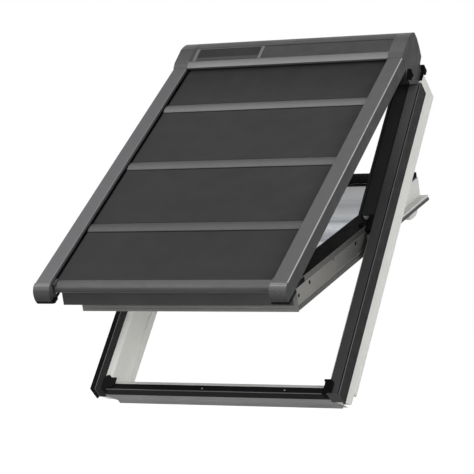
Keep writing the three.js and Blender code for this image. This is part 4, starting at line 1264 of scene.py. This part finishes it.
@dataclass
class Sash(Assembly):
    """The tilted sash with its glass, covers, apron and ventilation bar."""

    body: Body = Body.SASH
    space: Space = SASH
    edge: float = 1.2
    black_above: float = -40
    black_below: float = -478
    cover_wall: float = 337.6
    cover_face: float = 338
    lip_line: Point = (-72.5, -70.8)
    screw_places: tuple[Place, ...] = ((-103, -31.2, 6), (-276.3, -25, 3), (-457.7, -33.8, 6),
                                       (-539.9, -45.8, 5.5))
    screw_rise: float = 0.35
    screw_steps: int = 12
    glass_half: float = 275.65
    glass_low: float = -485.65
    glass_high: float = 473.65
    glass_top: float = -8.35
    glass_depth: float = 28
    pane_thickness: float = 4
    spacer_width: float = 11
    spacer_gap: float = 0.05

    def build(self) -> None:
        """Make and dress the sash's pieces in order."""
        # painted shade: the outer face of each sash side's lower end is black where the shutter shades it
        black = Zone(Finishes.BLACK_AND_SHADE_CLADDING, (-FAR, -FAR, self.black_above), (FAR, self.black_below, FAR))
        lip = Zone(Finishes.RUBBER, (-FAR, -FAR, self.lip_line[0]), (FAR, FAR, self.lip_line[1]))
        # the top covers' side walls and the side covers fade darker up the sash, as painted shade
        for side, sign in SIDES.items():
            self.soften("sash_side_" + side, Finishes.SASH_LACQUER, black)
            self.trim("sash_top_cover_" + side, Finishes.BLACK_AND_SHADE_CLADDING,
                      Zone(Finishes.COVER_WALL_SHADE, *beside(sign, self.cover_wall)))
            self.trim("sash_side_cover_" + side, Finishes.WARM_GREY_SHADE, lip)
            self.trim("sash_gasket_" + side, Finishes.GREY_RUBBER)
            self.trim("pivot_arm_" + side, Finishes.PLASTIC)
            self.trim("support_shoe_" + side, Finishes.SHOE_GREY)
        for node in ("sash_bottom_rail", "sash_top_rail"):
            self.soften(node, Finishes.SASH_LACQUER)
        self.soften("vent_bar", Finishes.SASH_LACQUER, body=Body.VENT)
        self.trim("sash_apron", Finishes.CLADDING)
        self.trim("sash_end_plate", Finishes.PALE_GREY)
        self.trim("sash_top_cap", Finishes.BLACK_AND_SHADE_CLADDING)
        self.glass()
        self.screws()

    def screws(self) -> None:
        """Put dark discs on the side covers where the screw holes are, as painted shade for the dark inside
        of each hole.
        """
        for side, sign in SIDES.items():
            holes = Shaper(self.space)
            for up, out, radius in self.screw_places:
                holes.disc((sign * self.cover_face, up, out), radius, sign * self.screw_rise, Run.ACROSS,
                           steps=self.screw_steps)
            holes.piece("cover_hole_shades_" + side, self.body, Finishes.PLASTIC)

    def glass(self) -> None:
        """Make the sealed unit of two panes on a dark spacer."""
        panes = Shaper(self.space)
        half, low, high = self.glass_half, self.glass_low, self.glass_high
        lower_top = self.glass_top - self.glass_depth + self.pane_thickness
        for top in (self.glass_top, lower_top):
            panes.box((-half, low, top - self.pane_thickness), (half, high, top))
        panes.piece("glass_panes", self.body, Finishes.GLASS, replaces=("glass_unit",))
        spacer = Shaper(self.space)
        outer = [(-half, low), (half, low), (half, high), (-half, high)]
        foot = lower_top + self.spacer_gap
        top = self.glass_top - self.pane_thickness - self.spacer_gap
        base = spacer.mesh.faces.new([spacer.mesh.verts.new((*corner, foot)) for corner in outer])
        rim = bmesh.ops.inset_region(spacer.mesh, faces=[base], use_boundary=True, use_even_offset=True,
                                     thickness=self.spacer_width)["faces"]
        bmesh.ops.delete(spacer.mesh, geom=[base], context="FACES")
        pulled = bmesh.ops.extrude_face_region(spacer.mesh, geom=rim, use_keep_orig=True)
        moved = [v for v in pulled["geom"] if isinstance(v, bmesh.types.BMVert)]
        bmesh.ops.translate(spacer.mesh, vec=(0, 0, top - foot), verts=moved)
        bmesh.ops.recalc_face_normals(spacer.mesh, faces=spacer.mesh.faces)
        spacer.piece("glass_spacer", self.body, Finishes.RUBBER)


@dataclass
class Studio:
    """The camera, the lamps, the floor and the white surroundings."""

    camera_place: Place = (2.68292, -5.62661, 0.39018)
    forward: Place = (-0.42706983, 0.9041073, 0.01418978)
    upward: Place = (0.01071699, -0.01063066, 0.99988606)
    lens: float = 162.772
    sensor: float = 36
    reach: float = 60
    floor_drop: float = 0.45
    floor_size: float = 40
    floor_glow: float = 0.8
    floor_colour: tuple[float, float, float, float] = (0.86, 0.86, 0.86, 1)
    floor_roughness: float = 0.9
    floor_specular: float = 0.1
    surround: float = 0.2
    lamps: tuple[tuple[Place, float, float], ...] = (
        ((-0.9, -0.8, 4.2), 3.5, 70),
        ((4.8, -1.6, 1.6), 3.4, 150),
        ((2.0, -6.2, 3.0), 3.4, 100),
        ((-3.6, -4.6, 2.6), 3.4, 25),
        ((0.8, -3.6, -0.3), 2.4, 40),
        ((-1.9, -2.3, 3.4), 1.2, 25),
    )
    target: Place = (0, 0.2, 0.5)

    def build(self) -> None:
        """Set up everything around the object."""
        self.camera()
        self.floor()
        self.light()
        bpy.context.scene.view_settings.view_transform = "Standard"

    def camera(self) -> None:
        """Place the camera where the photograph was taken from."""
        data = bpy.data.cameras.new("view")
        data.lens = self.lens
        data.sensor_width = self.sensor
        data.sensor_fit = "HORIZONTAL"
        data.clip_end = self.reach
        made = linked("view", data)
        back = -Vector(self.forward).normalized()
        right = Vector(self.upward).cross(back).normalized()
        turn = Matrix((right, back.cross(right), back)).transposed().to_4x4()
        made.matrix_world = Matrix.Translation(self.camera_place) @ turn
        bpy.context.scene.camera = made

    def floor(self) -> None:
        """Lay a pale floor below the object."""
        mesh = bmesh.new()
        bmesh.ops.create_grid(mesh, x_segments=1, y_segments=1, size=self.floor_size / 2)
        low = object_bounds()[0][2]
        bmesh.ops.translate(mesh, vec=(0, 0, low - self.floor_drop), verts=mesh.verts)
        data = bpy.data.meshes.new("floor")
        mesh.to_mesh(data)
        mesh.free()
        graph = Graph("pale_floor")
        graph.set(Base_Color=self.floor_colour, Roughness=self.floor_roughness,
                  Specular_IOR_Level=self.floor_specular)
        glow = graph.node("Emission", Color=(1, 1, 1, 1))
        path = graph.node("LightPath")
        strength = graph.node("Math", operation="MULTIPLY")
        strength.inputs[1].default_value = self.floor_glow
        graph.join(path.outputs["Is Camera Ray"], strength.inputs[0])
        graph.join(strength.outputs[0], glow.inputs["Strength"])
        both = graph.node("AddShader")
        graph.join(graph.shader.outputs[0], both.inputs[0])
        graph.join(glow.outputs[0], both.inputs[1])
        graph.join(both.outputs[0], graph.output.inputs["Surface"])
        data.materials.append(graph.material)
        linked("floor", data)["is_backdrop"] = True

    def light(self) -> None:
        """Hang the soft lamps and make the surroundings white to the camera."""
        for number, (place, size, power) in enumerate(self.lamps):
            data = bpy.data.lights.new(f"lamp_{number}", "AREA")
            data.size = size
            data.energy = power
            aim = (Vector(self.target) - Vector(place)).to_track_quat("-Z", "Y").to_matrix()
            lamp = linked(f"lamp_{number}", data)
            lamp.matrix_world = Matrix.Translation(place) @ aim.to_4x4()
        world = bpy.data.worlds.new("surroundings")
        world.use_nodes = True
        bpy.context.scene.world = world
        tree = world.node_tree
        background = tree.nodes["Background"]
        background.inputs["Color"].default_value = (1, 1, 1, 1)
        path = tree.nodes.new("ShaderNodeLightPath")
        seen = path.outputs["Is Camera Ray"]
        for kind in ("Is Transmission Ray", "Is Glossy Ray"):
            either = tree.nodes.new("ShaderNodeMath")
            either.operation = "MAXIMUM"
            tree.links.new(seen, either.inputs[0])
            tree.links.new(path.outputs[kind], either.inputs[1])
            seen = either.outputs[0]
        strength = tree.nodes.new("ShaderNodeMapRange")
        strength.inputs["To Min"].default_value = self.surround
        strength.inputs["To Max"].default_value = 1
        tree.links.new(seen, strength.inputs["Value"])
        tree.links.new(strength.outputs["Result"], background.inputs["Strength"])


def main() -> None:
    """Build the object and the studio."""
    logging.basicConfig(level=logging.INFO, format="%(name)s: %(message)s")
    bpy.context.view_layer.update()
    for part in (WindowFrame(), Casing(), ShutterRails(), Curtain(), Sash(), Studio()):
        part.build()
        log.info("%s is done", type(part).__name__)


if __name__ == "__main__":
    main()
